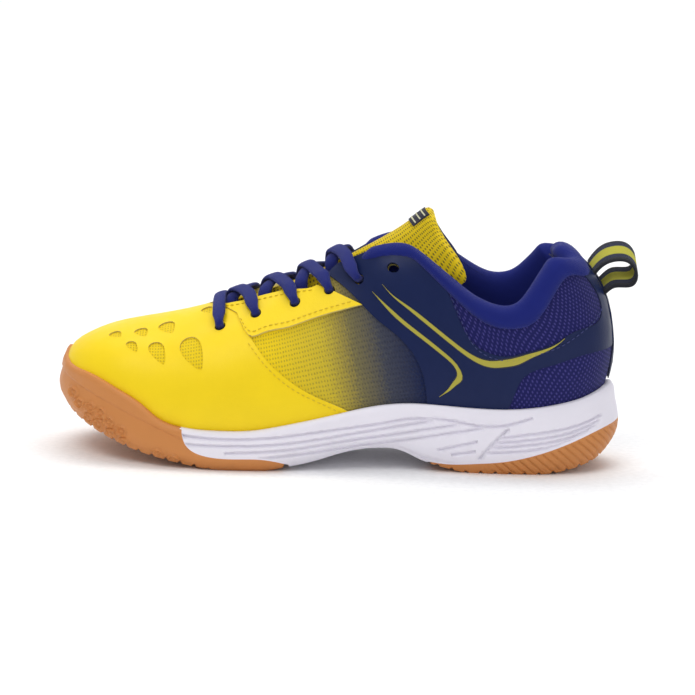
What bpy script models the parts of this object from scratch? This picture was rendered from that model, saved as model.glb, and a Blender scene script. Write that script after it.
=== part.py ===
"""A low-cut left court shoe, built the way it is assembled: sole unit, lasted upper in layers, tongue and lace.

Everything is worked out in millimetres and written to the meshes in metres. The toe points to -X, the
lateral (outer) side faces -Y and +Z is up. The last, the foot-shaped form that the upper is pulled over,
is a tube of rings: each ring runs from a point on the sole or heel-back line to a point on the crest line.
A place on the last is (p, q): p in mm along it from the toe, q round it from the crest, lateral negative.
"""

import math

import bmesh
import bpy
import numpy as np
from mathutils import Vector
from mathutils.geometry import delaunay_2d_cdt

MM = 0.001

# ---- driving dimensions, millimetres ---------------------------------------------------------------------
ORIGIN = (1.2, 1.0, 0.0)  # the part's origin, under the middle of its bounding box
LATTICE = 13.0            # spacing of the points that all the upper's layers share
GAP = 0.4                 # air between two pieces that meet edge to edge
ROUND_SCALE = 42.0        # mm of q for each radian round the last
Q_SEAM = math.pi * ROUND_SCALE

MESH_LAYER = (-1.0, 0.0)          # each layer's inner and outer distance from the last's reference skin
FILM_LAYER = (0.3, 0.8)
EYESTAY_LAYER = (1.1, 1.7)
STIFFENER_LAYER = (-2.3, -1.3)
LINING_LAYER = (-3.5, -2.6)
FOAM_LAYER = (-6.6, -2.6)
COLLAR_LINING_LAYER = (-7.8, -6.9)
STROBEL_LAYER = (-2.3, -1.3)
SOCKLINER_LAYER = (-7.6, -2.6)
SOLE_CAVITY = 1.4                 # the sole unit stands this far off the reference skin
RIM_STAND = 3.4                   # the sole wall's top edge stands this far off it

EYELET_RADIUS = 2.9
LACE_WIDTH, LACE_THICKNESS = 6.4, 2.0
LACE_IN_EYELET = 4.2
AGLET_LENGTH, AGLET_WIDTH = 9.0, 3.4
OUTSOLE_WALL = 2.6
OUTSOLE_FLOOR = 4.0
TREAD_DEPTH, TREAD_WIDTH = 1.8, 3.0
FEATHER_TURN = 34.0               # how far round from the seam line the upper's lasted edge stops
FEATHER_HEEL_Z = 33.0

# Rings of the last: crest x, z; sole or back x, z; sideways shift; lateral and medial half-width; section.
TOE, FORE, WAIST, COLLAR, HEEL = range(5)
SECTIONS = {
    # fractions of the way from sole to crest, then fractions of the half-width, at 30 degree steps
    TOE: ((0.05, 0.22, 0.47, 0.74, 0.93), (0.52, 0.88, 1.00, 0.85, 0.50)),
    FORE: ((-0.01, 0.07, 0.30, 0.65, 0.90), (0.62, 0.93, 1.00, 0.85, 0.48)),
    WAIST: ((0.00, 0.07, 0.28, 0.62, 0.88), (0.62, 0.92, 1.00, 0.85, 0.49)),
    COLLAR: ((0.00, 0.08, 0.28, 0.62, 0.90), (0.60, 0.90, 1.00, 0.93, 0.66)),
    HEEL: ((0.05, 0.20, 0.46, 0.72, 0.93), (0.50, 0.87, 1.00, 0.93, 0.60)),
}
RINGS = [
    (-145.0, 38.0, -145.0, 38.0, 6.0, 0.0, 0.0, TOE),
    (-142.5, 51.5, -141.5, 28.5, 6.0, 17.0, 17.0, TOE),
    (-135.5, 58.0, -133.0, 22.0, 5.5, 28.0, 27.5, TOE),
    (-120.0, 65.0, -116.0, 17.5, 4.5, 38.0, 37.5, TOE),
    (-98.0, 70.5, -94.0, 14.5, 3.0, 44.5, 44.5, FORE),
    (-72.0, 77.0, -68.0, 13.0, 1.5, 48.0, 48.0, FORE),
    (-46.0, 87.0, -38.0, 13.0, 0.5, 46.5, 46.5, WAIST),
    (-22.0, 97.0, -4.0, 15.5, 0.0, 42.0, 42.0, WAIST),
    (-2.0, 107.5, 30.0, 18.5, 0.0, 38.0, 37.0, WAIST),
    (14.0, 116.5, 66.0, 19.5, 0.0, 36.0, 35.5, COLLAR),
    (26.0, 124.0, 102.0, 19.0, 0.0, 35.0, 35.0, COLLAR),
    (34.0, 130.0, 132.0, 26.0, 0.0, 34.5, 34.5, HEEL),
    (39.0, 134.0, 141.0, 45.0, 0.0, 34.5, 34.5, HEEL),
    (43.0, 137.0, 143.3, 61.0, 0.0, 34.0, 34.0, HEEL),
    (46.0, 139.0, 141.5, 78.0, 0.0, 33.0, 33.5, HEEL),
    (48.0, 140.0, 136.5, 94.0, 0.0, 32.0, 32.5, HEEL),
    (49.0, 140.5, 127.0, 107.0, 0.0, 31.0, 31.5, HEEL),
    (50.0, 141.0, 114.0, 116.0, 0.0, 30.0, 30.5, HEEL),
]

# Side-view lines (x, z) on the lateral and medial sides.
RIM_LATERAL = [(-4, 101.8), (5, 106.8), (16, 112.4), (27, 115.2), (35, 114.5), (42, 110), (50, 103.5),
               (58, 97), (66, 91), (75, 86.6), (84, 84.6), (90.5, 85.7), (95.5, 90), (100, 97),
               (104.5, 104.5), (109, 110.5)]
RIM_MEDIAL = [(-4, 101.8), (5, 106.8), (16, 112.8), (27, 116.6), (36, 117.5), (46, 114), (56, 108),
              (65, 102), (73, 97.2), (80, 94.4), (87, 93.8), (93.5, 95.5), (99, 99.8), (104, 105.3),
              (109, 111)]
THROAT = [(-67.0, 4.0), (-63.5, 10.0), (-56.0, 13.0), (-44.0, 14.5), (-28.0, 16.0), (-15.0, 17.5)]  # crest x, half-gap
EYELETS = [(-62.0, 70.5), (-43.6, 77.0), (-23.6, 83.5), (-6.2, 90.5), (9.0, 97.3), (26.0, 104.6)]
VAMP_SEAM = [(-53.5, 71.0), (-50.5, 68.0), (-46.0, 60.0), (-36.0, 48.5), (-20.0, 37.0), (2.0, 27.0),
             (10.0, 20.0)]
QUARTER_FILM = [(-1.0, 104.0), (9.0, 95.0), (20.0, 84.0), (34.0, 70.0), (40.0, 56.0), (36.0, 26.0),
                (66.0, 26.0), (95.0, 38.0), (118.0, 56.0), (136.0, 72.0), (137.0, 90.0), (118.0, 78.0),
                (98.0, 65.0), (78.0, 66.0), (60.0, 78.0), (46.0, 96.0), (36.0, 107.0), (27.0, 111.0),
                (16.0, 109.5), (6.0, 106.0)]
MESH_SPLIT = [(40.0, 111.5), (46.0, 90.0), (52.0, 60.0), (56.0, 16.0)]
COLLAR_PAD_FRONT = [(27.0, 116.5), (31.0, 103.0), (40.0, 86.0), (60.0, 67.0), (86.0, 56.0), (112.0, 56.0),
                    (141.0, 62.0)]
COUNTER_EDGE = [(64.0, 22.0), (74.0, 48.0), (96.0, 62.0), (120.0, 70.0), (141.0, 76.0)]
TOE_PUFF_EDGE = [(-112.0, 66.0), (-114.0, 48.0), (-116.0, 26.0)]

# Sole unit: plan outline of the bottom edge (lateral then medial), and side-view heights by x.
EDGE_LATERAL = [(-146.0, 6.0), (-140.5, -13.0), (-126.0, -29.0), (-103.0, -41.5), (-75.0, -47.5),
                (-45.0, -47.5), (-12.0, -42.0), (25.0, -36.5), (65.0, -35.0), (100.0, -34.5),
                (125.0, -28.0), (139.5, -15.5), (144.0, 0.0)]
EDGE_MEDIAL = [(-146.0, 6.0), (-140.5, 25.0), (-126.0, 38.5), (-103.0, 47.5), (-75.0, 50.0), (-45.0, 46.5),
               (-12.0, 38.5), (25.0, 33.5), (65.0, 34.0), (100.0, 34.0), (125.0, 28.0), (139.5, 15.5),
               (144.0, 0.0)]
SOLE_BOTTOM = [(-150, 30), (-146, 26.5), (-135, 19.5), (-120, 12.8), (-100, 6.6), (-80, 2.6), (-62, 0),
               (-36, 0), (-26, 1.8), (-11, 5.0), (4, 9.6), (19, 12.0), (33, 11.0), (43, 6.5), (55, 2.6),
               (68, 0), (106, 0), (118, 1.6), (130, 4.6), (139, 8.4), (144, 12.0), (150, 17)]
SOLE_TOP_LATERAL = [(-143.0, 49.0), (-130.0, 44.0), (-113.0, 38.3), (-100.0, 31.5), (-91.0, 25.2),
                    (-75.0, 21.6), (-58.0, 21.3), (-43.0, 21.9), (-30.0, 24.0), (-15.0, 27.0), (0.0, 30.4),
                    (18.0, 34.4), (33.0, 36.2), (55.0, 35.8), (80.0, 34.5), (104.0, 35.6), (118.0, 38.0),
                    (130.0, 41.5), (138.0, 44.5)]
SOLE_TOP_TOE = (-143.6, 52.0)
SOLE_TOP_HEEL_Z = 46.0
GUM_TOP_FORE = [(-92.0, 24.0), (-87.0, 16.5), (-80.0, 10.8), (-70.0, 7.6), (-55.0, 6.8), (-42.0, 6.8),
                (-34.0, 5.6), (-26.0, 3.4)]
GUM_TOP_HEEL = [(48.0, 5.6), (60.0, 4.6), (72.0, 5.4), (88.0, 7.0), (104.0, 10.4), (120.0, 15.4),
                (132.0, 20.0), (141.0, 24.0), (150.0, 28.5)]
FORE_END_X = -26.0
HEEL_START_X = 50.0
STATIONS = 22             # from toe to heel along each side of the sole


def spline(knots, values):
    """The natural cubic spline through values (one row each) at knots, as a function of an array."""
    t, v = np.asarray(knots, float), np.asarray(values, float)
    v = v.reshape(len(t), -1)
    h = np.diff(t)
    a = np.eye(len(t))
    rhs = np.zeros_like(v)
    for i in range(1, len(t) - 1):
        a[i, i - 1:i + 2] = h[i - 1], 2 * (h[i - 1] + h[i]), h[i]
        rhs[i] = 6 * ((v[i + 1] - v[i]) / h[i] - (v[i] - v[i - 1]) / h[i - 1])
    m = np.linalg.solve(a, rhs)

    def at(x):
        x = np.atleast_1d(np.asarray(x, float))
        i = np.clip(np.searchsorted(t, x) - 1, 0, len(h) - 1)
        u = (x - t[i])[:, None]
        hi = h[i][:, None]
        w = hi - u
        return ((m[i] * w**3 + m[i + 1] * u**3) / (6 * hi)
                + (v[i] / hi - m[i] * hi / 6) * w + (v[i + 1] / hi - m[i + 1] * hi / 6) * u)

    return at


def chord_knots(points):
    steps = np.linalg.norm(np.diff(np.asarray(points, float), axis=0), axis=1)
    return np.concatenate([[0], np.cumsum(steps)])


def smooth_line(points, step):
    """Points about step apart along the smooth curve through the given ones."""
    knots = chord_knots(points)
    count = max(2, int(round(knots[-1] / step)) + 1)
    return spline(knots, points)(np.linspace(0, knots[-1], count))


def spread_line(points, count):
    """count points, evenly spaced, along the smooth curve through the given ones."""
    fine = smooth_line(points, 1.0)
    knots = chord_knots(fine)
    at = np.linspace(0, knots[-1], count)
    return np.stack([np.interp(at, knots, fine[:, k]) for k in range(fine.shape[1])], 1)


# ---- the last --------------------------------------------------------------------------------------------
def ring_table():
    rows = []
    for top_x, top_z, low_x, low_z, shift, lateral, medial, kind in RINGS:
        rise, width = SECTIONS[kind]
        rows.append([top_x, top_z, low_x, low_z, shift, lateral, medial, *rise, *width])
    rows = np.array(rows)
    step = 0.5 * (np.linalg.norm(np.diff(rows[:, 0:2], axis=0), axis=1)
                  + np.linalg.norm(np.diff(rows[:, 2:4], axis=0), axis=1))
    knots = np.concatenate([[0], np.cumsum(step)])
    return knots, rows


RING_P, RING_ROWS = ring_table()
RING_AT = spline(RING_P, RING_ROWS)
P_END = RING_P[-1]
NODE_ANGLES = np.arange(7) * math.pi / 6
RISE_BASIS = np.linalg.inv(np.cos(np.outer(NODE_ANGLES, np.arange(7))))
WIDTH_BASIS = np.linalg.inv(np.sin(np.outer(NODE_ANGLES[1:6], np.arange(1, 6))))


def last_point(p, q):
    """The reference skin at (p, q), in mm."""
    p, q = np.broadcast_arrays(np.atleast_1d(np.asarray(p, float)), np.atleast_1d(np.asarray(q, float)))
    row = RING_AT(p)
    turn = (q / ROUND_SCALE + math.pi) % (2 * math.pi) - math.pi
    angle = math.pi - np.abs(turn)
    rise_nodes = np.concatenate([np.zeros((len(p), 1)), row[:, 7:12], np.ones((len(p), 1))], 1)
    rise = ((rise_nodes @ RISE_BASIS.T) * np.cos(np.outer(angle, np.arange(7)))).sum(1)
    width = ((row[:, 12:17] @ WIDTH_BASIS.T) * np.sin(np.outer(angle, np.arange(1, 6)))).sum(1)
    half = np.where(turn < 0, row[:, 5], row[:, 6])
    x = row[:, 2] + rise * (row[:, 0] - row[:, 2])
    z = row[:, 3] + rise * (row[:, 1] - row[:, 3])
    return np.stack([x, row[:, 4] + np.sign(turn) * half * width, z], 1)


def last_normal(p, q):
    p, q = np.broadcast_arrays(np.atleast_1d(np.asarray(p, float)), np.atleast_1d(np.asarray(q, float)))
    inside = np.clip(p, 2.0, P_END - 0.5)
    along = last_point(inside + 0.5, q) - last_point(inside - 0.5, q)
    across = last_point(inside, q + 0.5) - last_point(inside, q - 0.5)
    normal = np.cross(along, across)
    normal /= np.linalg.norm(normal, axis=1)[:, None]
    pole = (p < 0.01)[:, None]
    return np.where(pole, np.array([-1.0, 0.0, 0.0]), normal)


def skin(p, q, stand):
    return last_point(p, q) + last_normal(p, q) * np.broadcast_to(stand, np.shape(p))[..., None]


def locate(points, side):
    """(p, q) of side-view points (x, z) on the lateral (-1) or medial (1) side."""
    grid = np.linspace(0.5, P_END, 900)
    row = RING_AT(grid)
    top, low = row[:, 0:2], row[:, 2:4]
    angles = np.linspace(0, math.pi, 400)
    found = []
    for point in np.asarray(points, float):
        d, r = top - low, point - low
        cross = d[:, 0] * r[:, 1] - d[:, 1] * r[:, 0]
        share = (d * r).sum(1) / (d * d).sum(1)
        change = np.where((cross[:-1] * cross[1:] <= 0) & (share[:-1] > -0.1) & (share[:-1] < 1.1))[0]
        i = change[0] if len(change) else int(np.argmin(np.abs(cross)))
        j = min(i + 1, len(grid) - 1)
        t = cross[i] / (cross[i] - cross[j]) if cross[i] != cross[j] else 0.0
        p = grid[i] + t * (grid[j] - grid[i])
        at = RING_AT(p)[0]
        rise_here = float(((point - at[2:4]) * (at[0:2] - at[2:4])).sum() / ((at[0:2] - at[2:4]) ** 2).sum())
        nodes = np.concatenate([[0], at[7:12], [1]]) @ RISE_BASIS.T
        rises = (np.cos(np.outer(angles, np.arange(7))) * nodes).sum(1)
        rising = np.maximum.accumulate(rises)
        angle = np.interp(rise_here, rising, angles)
        found.append((p, side * (math.pi - angle) * ROUND_SCALE))
    return np.array(found)


def on_crest(x, half_gap, side):
    """(p, q) of the point that stands half_gap beside the crest, on the ring whose crest is at x."""
    grid = np.linspace(1, P_END, 900)
    p = float(np.interp(x, RING_AT(grid)[:, 0], grid))
    qs = np.linspace(0, 60, 200) * side
    offsets = np.abs(last_point(np.full(200, p), qs)[:, 1] - last_point(p, 0.0)[0, 1])
    return p, float(np.interp(half_gap, offsets, qs))


# ---- outlines in (p, q) ------------------------------------------------------------------------------------

def on_crest(x, half_gap, side):
    """(p, q) of the point that stands half_gap beside the crest, on the ring whose crest is at x."""
    grid = np.linspace(1, P_END, 900)
    p = float(np.interp(x, RING_AT(grid)[:, 0], grid))
    qs = np.linspace(0, 60, 200) * side
    offsets = np.abs(last_point(np.full(200, p), qs)[:, 1] - last_point(p, 0.0)[0, 1])
    return p, float(np.interp(half_gap, offsets, np.abs(qs))) * side


def inside(polygon, points):
    """Even-odd test of points in a closed polygon."""
    x, y = points[:, 0], points[:, 1]
    found = np.zeros(len(points), bool)
    for (x0, y0), (x1, y1) in zip(polygon, np.roll(polygon, -1, axis=0)):
        if y1 != y0:
            found ^= ((y0 > y) != (y1 > y)) & (x < (x1 - x0) * (y - y0) / (y1 - y0) + x0)
    return found


def circle_at(centre, radius, sides=8):
    """A round hole's outline in (p, q) about a place on the last."""
    p, q = centre
    scale_p = np.linalg.norm(last_point(p + 0.5, q)[0] - last_point(p - 0.5, q)[0])
    scale_q = np.linalg.norm(last_point(p, q + 0.5)[0] - last_point(p, q - 0.5)[0])
    turns = (np.arange(sides) + 0.5) * 2 * math.pi / sides
    return np.stack([p + np.cos(turns) * radius / scale_p, q + np.sin(turns) * radius / scale_q], 1)


# ---- regions of the upper, as closed outlines in (p, q) -----------------------------------------------------
FEATHER_P = (RING_P[1] + 1.0, float(np.interp(FEATHER_HEEL_Z, RING_ROWS[10:14, 3], RING_P[10:14])))
THROAT_END_P = on_crest(-70.0, 0.0, 1)[0]


def feather_turn(p):
    """How far round from the seam line the lasted edge lies at p."""
    start, end = FEATHER_P
    return FEATHER_TURN * np.sqrt(np.clip(np.minimum(p - start, end - p) / 30.0, 0, 1))


def feather_line(raise_by=0.0):
    """The lasted edge on the +q side, toe to heel, raised by some mm toward the crest."""
    start, end = FEATHER_P
    p = np.concatenate([[start, start + 3, start + 9, start + 18], np.arange(start + 30, end - 26, LATTICE),
                        [end - 18, end - 9, end - 3, end]])
    middle = np.abs(p - (start + end) / 2) / ((end - start) / 2)
    shift = raise_by * np.sign(p - (start + end) / 2) * np.clip(middle * 12 - 11, 0, 1)
    turn = feather_turn(p) + raise_by * np.clip((1 - middle) * 12, 0, 1)
    return np.stack([p + shift, Q_SEAM - turn], 1)


def bottom_region(raise_by=0.0):
    """Below the lasted edge, both sides, as two outlines that meet the seam line."""
    line = feather_line(raise_by)
    right = np.concatenate([line, [(line[-1, 0], Q_SEAM + 1), (line[0, 0], Q_SEAM + 1)]])
    return [right, right * (1, -1)]


def opening_region(grow=0.0):
    """The throat and the collar's mouth."""
    sides = []
    for side, rim in ((-1, RIM_LATERAL), (1, RIM_MEDIAL)):
        throat = np.array([on_crest(x, gap + grow, side) for x, gap in THROAT])
        throat[0, 0] -= grow
        mouth = locate(rim, side)
        mouth[:, 1] += side * grow
        notch = [(P_END - 6, side * (Q_SEAM - 22 + grow)), (P_END, side * (Q_SEAM - 15 + grow))]
        mouth = np.concatenate([mouth, notch])
        line = smooth_line(np.concatenate([throat, mouth]), 8.5)
        back = [(P_END + 1, line[-1, 1])]
        sides.append(np.concatenate([line, back]))
    return [np.concatenate([[(THROAT_END_P - grow, 0.0)], sides[0], sides[1][::-1]])]


def ahead_of(points, grow=0.0):
    """Everything on the toe side of a line that runs from crest to seam, on both sides."""
    outline = []
    for side in (-1, 1):
        line = smooth_line(locate(points, side), LATTICE)
        line[:, 0] += grow
        line = np.concatenate([[(line[0, 0], 0.0)], line, [(line[-1, 0], side * (Q_SEAM + 1))]])
        outline.append(line)
    return [np.concatenate([outline[0][::-1], outline[1][1:], [(-1, Q_SEAM + 1), (-1, -Q_SEAM - 1)]])]


def behind_of(points):
    """Everything on the heel side of a line that runs from the collar down and back to the seam."""
    found = []
    for side in (-1, 1):
        line = smooth_line(locate(points, side), LATTICE)
        end = [(line[-1, 0], side * (Q_SEAM + 1)), (P_END + 1, side * (Q_SEAM + 1)), (P_END + 1, line[0, 1] - side * 12)]
        found.append(np.concatenate([line, end]))
    return found


def below_of(points):
    """Everything under a line that runs from the sole up and back to the heel's seam."""
    found = []
    for side in (-1, 1):
        line = smooth_line(locate(points, side), LATTICE)
        ends = [(line[-1, 0], side * (Q_SEAM + 1)), (line[0, 0], side * (Q_SEAM + 1))]
        found.append(np.concatenate([line, ends]))
    return found


def closed_side(points, side, step=LATTICE):
    line = locate(points, side)
    return [smooth_line(np.concatenate([line, line[:1]]), step)[:-1]]


def eyestay_region(side):
    top = [on_crest(x, gap, side) for x, gap in THROAT[1:]]
    rim = locate((RIM_LATERAL if side < 0 else RIM_MEDIAL)[:6], side)
    back = locate([(34.0, 104.0), (22.0, 98.0), (12.0, 86.5), (-8.0, 76.0), (-30.0, 66.5), (-48.0, 62.5), (-58.0, 63.0)], side)
    return [smooth_line(np.concatenate([top, rim, back, top[:1]]), 9.0)[:-1]]


def largest_patch(faces):
    """The largest set of triangles joined edge to edge."""
    by_edge = {}
    for k, f in enumerate(faces):
        for a, b in zip(f, f[1:] + f[:1]):
            by_edge.setdefault(frozenset((a, b)), []).append(k)
    patches, seen = [], set()
    for first in range(len(faces)):
        if first in seen:
            continue
        patch, waiting = [], [first]
        seen.add(first)
        while waiting:
            k = waiting.pop()
            patch.append(faces[k])
            f = faces[k]
            for a, b in zip(f, f[1:] + f[:1]):
                for other in by_edge[frozenset((a, b))]:
                    if other not in seen:
                        seen.add(other)
                        waiting.append(other)
        patches.append(patch)
    return max(patches, key=len)


class Net:
    """One triangulation of a (p, q) area that carries every outline, so that stacked layers never cross."""

    def __init__(self, outlines, area, pitch=LATTICE):
        (p0, p1), half = area, Q_SEAM
        edge_p = np.arange(p0, p1, pitch * 0.8)
        edge_p = np.append(edge_p, p1)
        points, edges = [], []

        def add(loop, closed=True):
            start = len(points)
            points.extend(Vector((float(a), float(b))) for a, b in loop)
            count = len(loop)
            edges.extend((start + k, start + (k + 1) % count) for k in range(count if closed else count - 1))

        frame = [(p, -half) for p in edge_p] + [(p, half) for p in edge_p[::-1]]
        add(frame)
        for loop in outlines:
            add(np.stack([np.clip(loop[:, 0], p0, p1), np.clip(loop[:, 1], -half, half)], 1))
        held = np.array([tuple(v) for v in points])
        rows = []
        for k, p in enumerate(np.arange(p0 + pitch * 0.8, p1 - 2, pitch * 0.8)):
            offset = (k % 2) * pitch / 2
            right = np.arange(offset, half - 4, pitch)
            rows += [(p, q) for q in np.concatenate([-right[::-1][:len(right) - (offset == 0)], right])]
        rows = np.array(rows)
        distance = np.sqrt(((rows[:, None] - held[None]) ** 2).sum(2)).min(1)
        points.extend(Vector((float(a), float(b))) for a, b in rows[distance > pitch * 0.45])
        verts, _, faces, *_ = delaunay_2d_cdt(points, edges, [], 0, 0.05)
        self.pq = np.array([tuple(v) for v in verts])
        self.faces = np.array([f for f in faces if len(f) == 3])
        self.base = last_point(*self.pq.T)
        self.normal = last_normal(*self.pq.T)
        keys = {}
        self.weld = np.array([keys.setdefault(tuple(np.round(b / 0.02).astype(int)), k)
                              for k, b in enumerate(self.base)])
        self.centres = self.pq[self.faces].mean(1)

    def select(self, within, without=()):
        chosen = np.zeros(len(self.faces), bool)
        for loop in within:
            chosen |= inside(loop, self.centres)
        for loop in without:
            chosen &= ~inside(loop, self.centres)
        return chosen

    def solid(self, name, chosen, layer, material):
        """A closed plate over the chosen triangles, between two stands from the reference skin."""
        faces = [tuple(self.weld[f]) for f in self.faces[chosen]]
        faces = largest_patch([f for f in faces if len(set(f)) == 3])
        used = sorted({v for f in faces for v in f})
        index = {v: k for k, v in enumerate(used)}
        low, high = (value(*self.pq[used].T) if callable(value) else value for value in layer)
        base, normal = self.base[used], self.normal[used]
        inner = base + normal * np.broadcast_to(low, len(used))[:, None]
        outer = base + normal * np.broadcast_to(high, len(used))[:, None]
        count = len(used)
        solid_faces, directed = [], set()
        for f in faces:
            a, b, c = (index[v] for v in f)
            solid_faces += [(a + count, b + count, c + count), (c, b, a)]
            directed.update(((a, b), (b, c), (c, a)))
        for a, b in directed:
            if (b, a) not in directed:
                solid_faces.append((b + count, a + count, a, b))
        return make_object(name, np.concatenate([inner, outer]), solid_faces, material)


# ---- Blender objects -------------------------------------------------------------------------------------
def make_material(name, colour, roughness, metallic=0.0):
    material = bpy.data.materials.new(name)
    material.use_nodes = True
    shader = material.node_tree.nodes["Principled BSDF"]
    shader.inputs["Base Color"].default_value = (*colour, 1.0)
    shader.inputs["Roughness"].default_value = roughness
    shader.inputs["Metallic"].default_value = metallic
    material.diffuse_color = (*colour, 1.0)
    return material


def make_object(name, points_mm, faces, material, smooth=True):
    mesh = bpy.data.meshes.new(name)
    mesh.from_pydata(((np.asarray(points_mm) - ORIGIN) * MM).tolist(), [], [tuple(int(v) for v in f) for f in faces])
    net = bmesh.new()
    net.from_mesh(mesh)
    bmesh.ops.triangulate(net, faces=net.faces[:])
    bmesh.ops.recalc_face_normals(net, faces=net.faces[:])
    net.to_mesh(mesh)
    net.free()
    made = bpy.data.objects.new(name, mesh)
    bpy.context.scene.collection.objects.link(made)
    if material:
        mesh.materials.append(material)
    if smooth:
        mesh.shade_smooth()
        mesh.set_sharp_from_angle(angle=math.radians(40))
    return made


def apply_boolean(target, cutter, operation):
    modifier = target.modifiers.new("cut", "BOOLEAN")
    modifier.object, modifier.operation, modifier.solver = cutter, operation, "EXACT"
    graph = bpy.context.evaluated_depsgraph_get()
    mesh = bpy.data.meshes.new_from_object(target.evaluated_get(graph))
    target.modifiers.clear()
    target.data = mesh


def remove(*objects):
    for item in objects:
        bpy.data.objects.remove(item)


def clean(made, weld=0.00002):
    net = bmesh.new()
    net.from_mesh(made.data)
    bmesh.ops.remove_doubles(net, verts=net.verts[:], dist=weld)
    bmesh.ops.dissolve_degenerate(net, edges=net.edges[:], dist=weld)
    bmesh.ops.dissolve_limit(net, angle_limit=math.radians(1.0), verts=net.verts[:], edges=net.edges[:])
    bmesh.ops.triangulate(net, faces=net.faces[:])
    bmesh.ops.recalc_face_normals(net, faces=net.faces[:])
    net.to_mesh(made.data)
    net.free()
    made.data.shade_smooth()
    made.data.set_sharp_from_angle(angle=math.radians(32))


def loop_stack(name, loops, material=None):
    """A closed body from loops of equal length; the first and last are bridged across, lateral to medial."""
    count = len(loops[0])
    half = count // 2
    faces = []
    for k in range(len(loops) - 1):
        for i in range(count):
            j = (i + 1) % count
            faces.append((k * count + i, k * count + j, (k + 1) * count + j, (k + 1) * count + i))
    for base, flip in ((0, False), ((len(loops) - 1) * count, True)):
        for i in range(half):
            a, b = i, i + 1
            c, d = (count - i - 1) % count, (count - i) % count
            face = [base + v for v in dict.fromkeys((a, b, c, d))]
            if len(face) > 2:
                faces.append(face[::-1] if flip else face)
    return make_object(name, np.concatenate(loops), faces, material)


def side_prism(name, outline, y0, y1):
    """A side-view outline (x, z) carried straight across from y0 to y1."""
    outline = np.asarray(outline, float)
    count = len(outline)
    points = [(x, y, z) for y in (y0, y1) for x, z in outline]
    faces = [tuple(range(count)), tuple(range(2 * count - 1, count - 1, -1))]
    faces += [(k, k + count, (k + 1) % count + count, (k + 1) % count) for k in range(count)]
    return make_object(name, points, faces, None, smooth=False)


def ribbon(name, path, across, widths, thickness, material, sides=6):
    """A closed flat cord along a path; across gives the direction of its width at every point."""
    path = np.asarray(path, float)
    tangent = np.gradient(path, axis=0)
    tangent /= np.linalg.norm(tangent, axis=1)[:, None]
    across = across - (across * tangent).sum(1)[:, None] * tangent
    across /= np.linalg.norm(across, axis=1)[:, None]
    up = np.cross(tangent, across)
    turns = (np.arange(sides) + 0.5) * 2 * math.pi / sides
    rings = [path + across * (math.cos(t) * widths / 2 / math.cos(math.pi / sides))[:, None]
             + up * math.sin(t) * thickness / 2 for t in turns]
    points = np.stack(rings, 1).reshape(-1, 3)
    faces = [(k * sides + i, k * sides + (i + 1) % sides, (k + 1) * sides + (i + 1) % sides, (k + 1) * sides + i)
             for k in range(len(path) - 1) for i in range(sides)]
    last = (len(path) - 1) * sides
    faces += [tuple(range(sides))[::-1], tuple(last + i for i in range(sides))]
    return make_object(name, points, faces, material)


def round_corners(points, share=0.25):
    """Each inner corner of a path replaced by two points, one on either side of it."""
    points = np.asarray(points, float)
    out = [points[0]]
    for a, b in zip(points[:-1], points[1:]):
        out += [a + (b - a) * share, b + (a - b) * share]
    return np.array(out + [points[-1]])


# ---- start from an empty file --------------------------------------------------------------------------------
for item in list(bpy.data.objects):
    bpy.data.objects.remove(item)

YELLOW = (0.93, 0.70, 0.03)
NAVY = (0.012, 0.022, 0.10)
BLUE = (0.030, 0.050, 0.42)
GUM = (0.68, 0.27, 0.09)
WHITE = (0.80, 0.76, 0.82)

# ---- the upper: layers cut from one net -------------------------------------------------------------------
OPENING = opening_region()
OPENING_LINING = opening_region(1.2)
BOTTOM = bottom_region()
BOTTOM_INNER = bottom_region(4.0)
MESH_FRONT = ahead_of(MESH_SPLIT, -GAP / 2)
MESH_BACK = ahead_of(MESH_SPLIT, GAP / 2)
LINING_FRONT = ahead_of([(4.0, 112.0), (12.0, 96.0), (26.0, 76.0), (36.0, 50.0), (40.0, 16.0)])
VAMP_FRONT = ahead_of([(-49.0, 78.0)] + VAMP_SEAM[1:])
TOE_FRONT = ahead_of([(-109.0, 68.0)] + TOE_PUFF_EDGE[1:])
PAD_BACK = behind_of(COLLAR_PAD_FRONT)
COUNTER_BACK = below_of(COUNTER_EDGE)
STAY_EYELETS = {side: eyestay_region(side) for side in (-1, 1)}
FILM = {side: closed_side(QUARTER_FILM, side) for side in (-1, 1)}
STAY_BACK_TURN = 9.0
STAY_P = float(np.interp(47.0, RING_ROWS[10:14, 3], RING_P[10:14]))
HEEL_STAY = [np.array([(STAY_P, side * (Q_SEAM - STAY_BACK_TURN)), (P_END + 1, side * (Q_SEAM - STAY_BACK_TURN)),
                       (P_END + 1, side * (Q_SEAM + 1)), (STAY_P, side * (Q_SEAM + 1))]) for side in (-1, 1)]
HOLES = [circle_at(centre, EYELET_RADIUS) for side in (-1, 1) for centre in locate(EYELETS, side)]

upper = Net(OPENING + OPENING_LINING + BOTTOM + BOTTOM_INNER + MESH_FRONT + MESH_BACK + LINING_FRONT + VAMP_FRONT
            + TOE_FRONT + PAD_BACK + COUNTER_BACK + STAY_EYELETS[-1] + STAY_EYELETS[1] + FILM[-1] + FILM[1]
            + HEEL_STAY + HOLES, (0.0, P_END))

whole = upper.select([np.array([(-1, -200), (P_END + 1, -200), (P_END + 1, 200), (-1, 200)])],
                     OPENING + BOTTOM + HOLES)
front, back = upper.select(MESH_FRONT), upper.select(MESH_BACK)
inner_hole = upper.select(OPENING_LINING + BOTTOM_INNER)
pad = upper.select(PAD_BACK)
stays = {side: upper.select(STAY_EYELETS[side]) for side in (-1, 1)}

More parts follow.
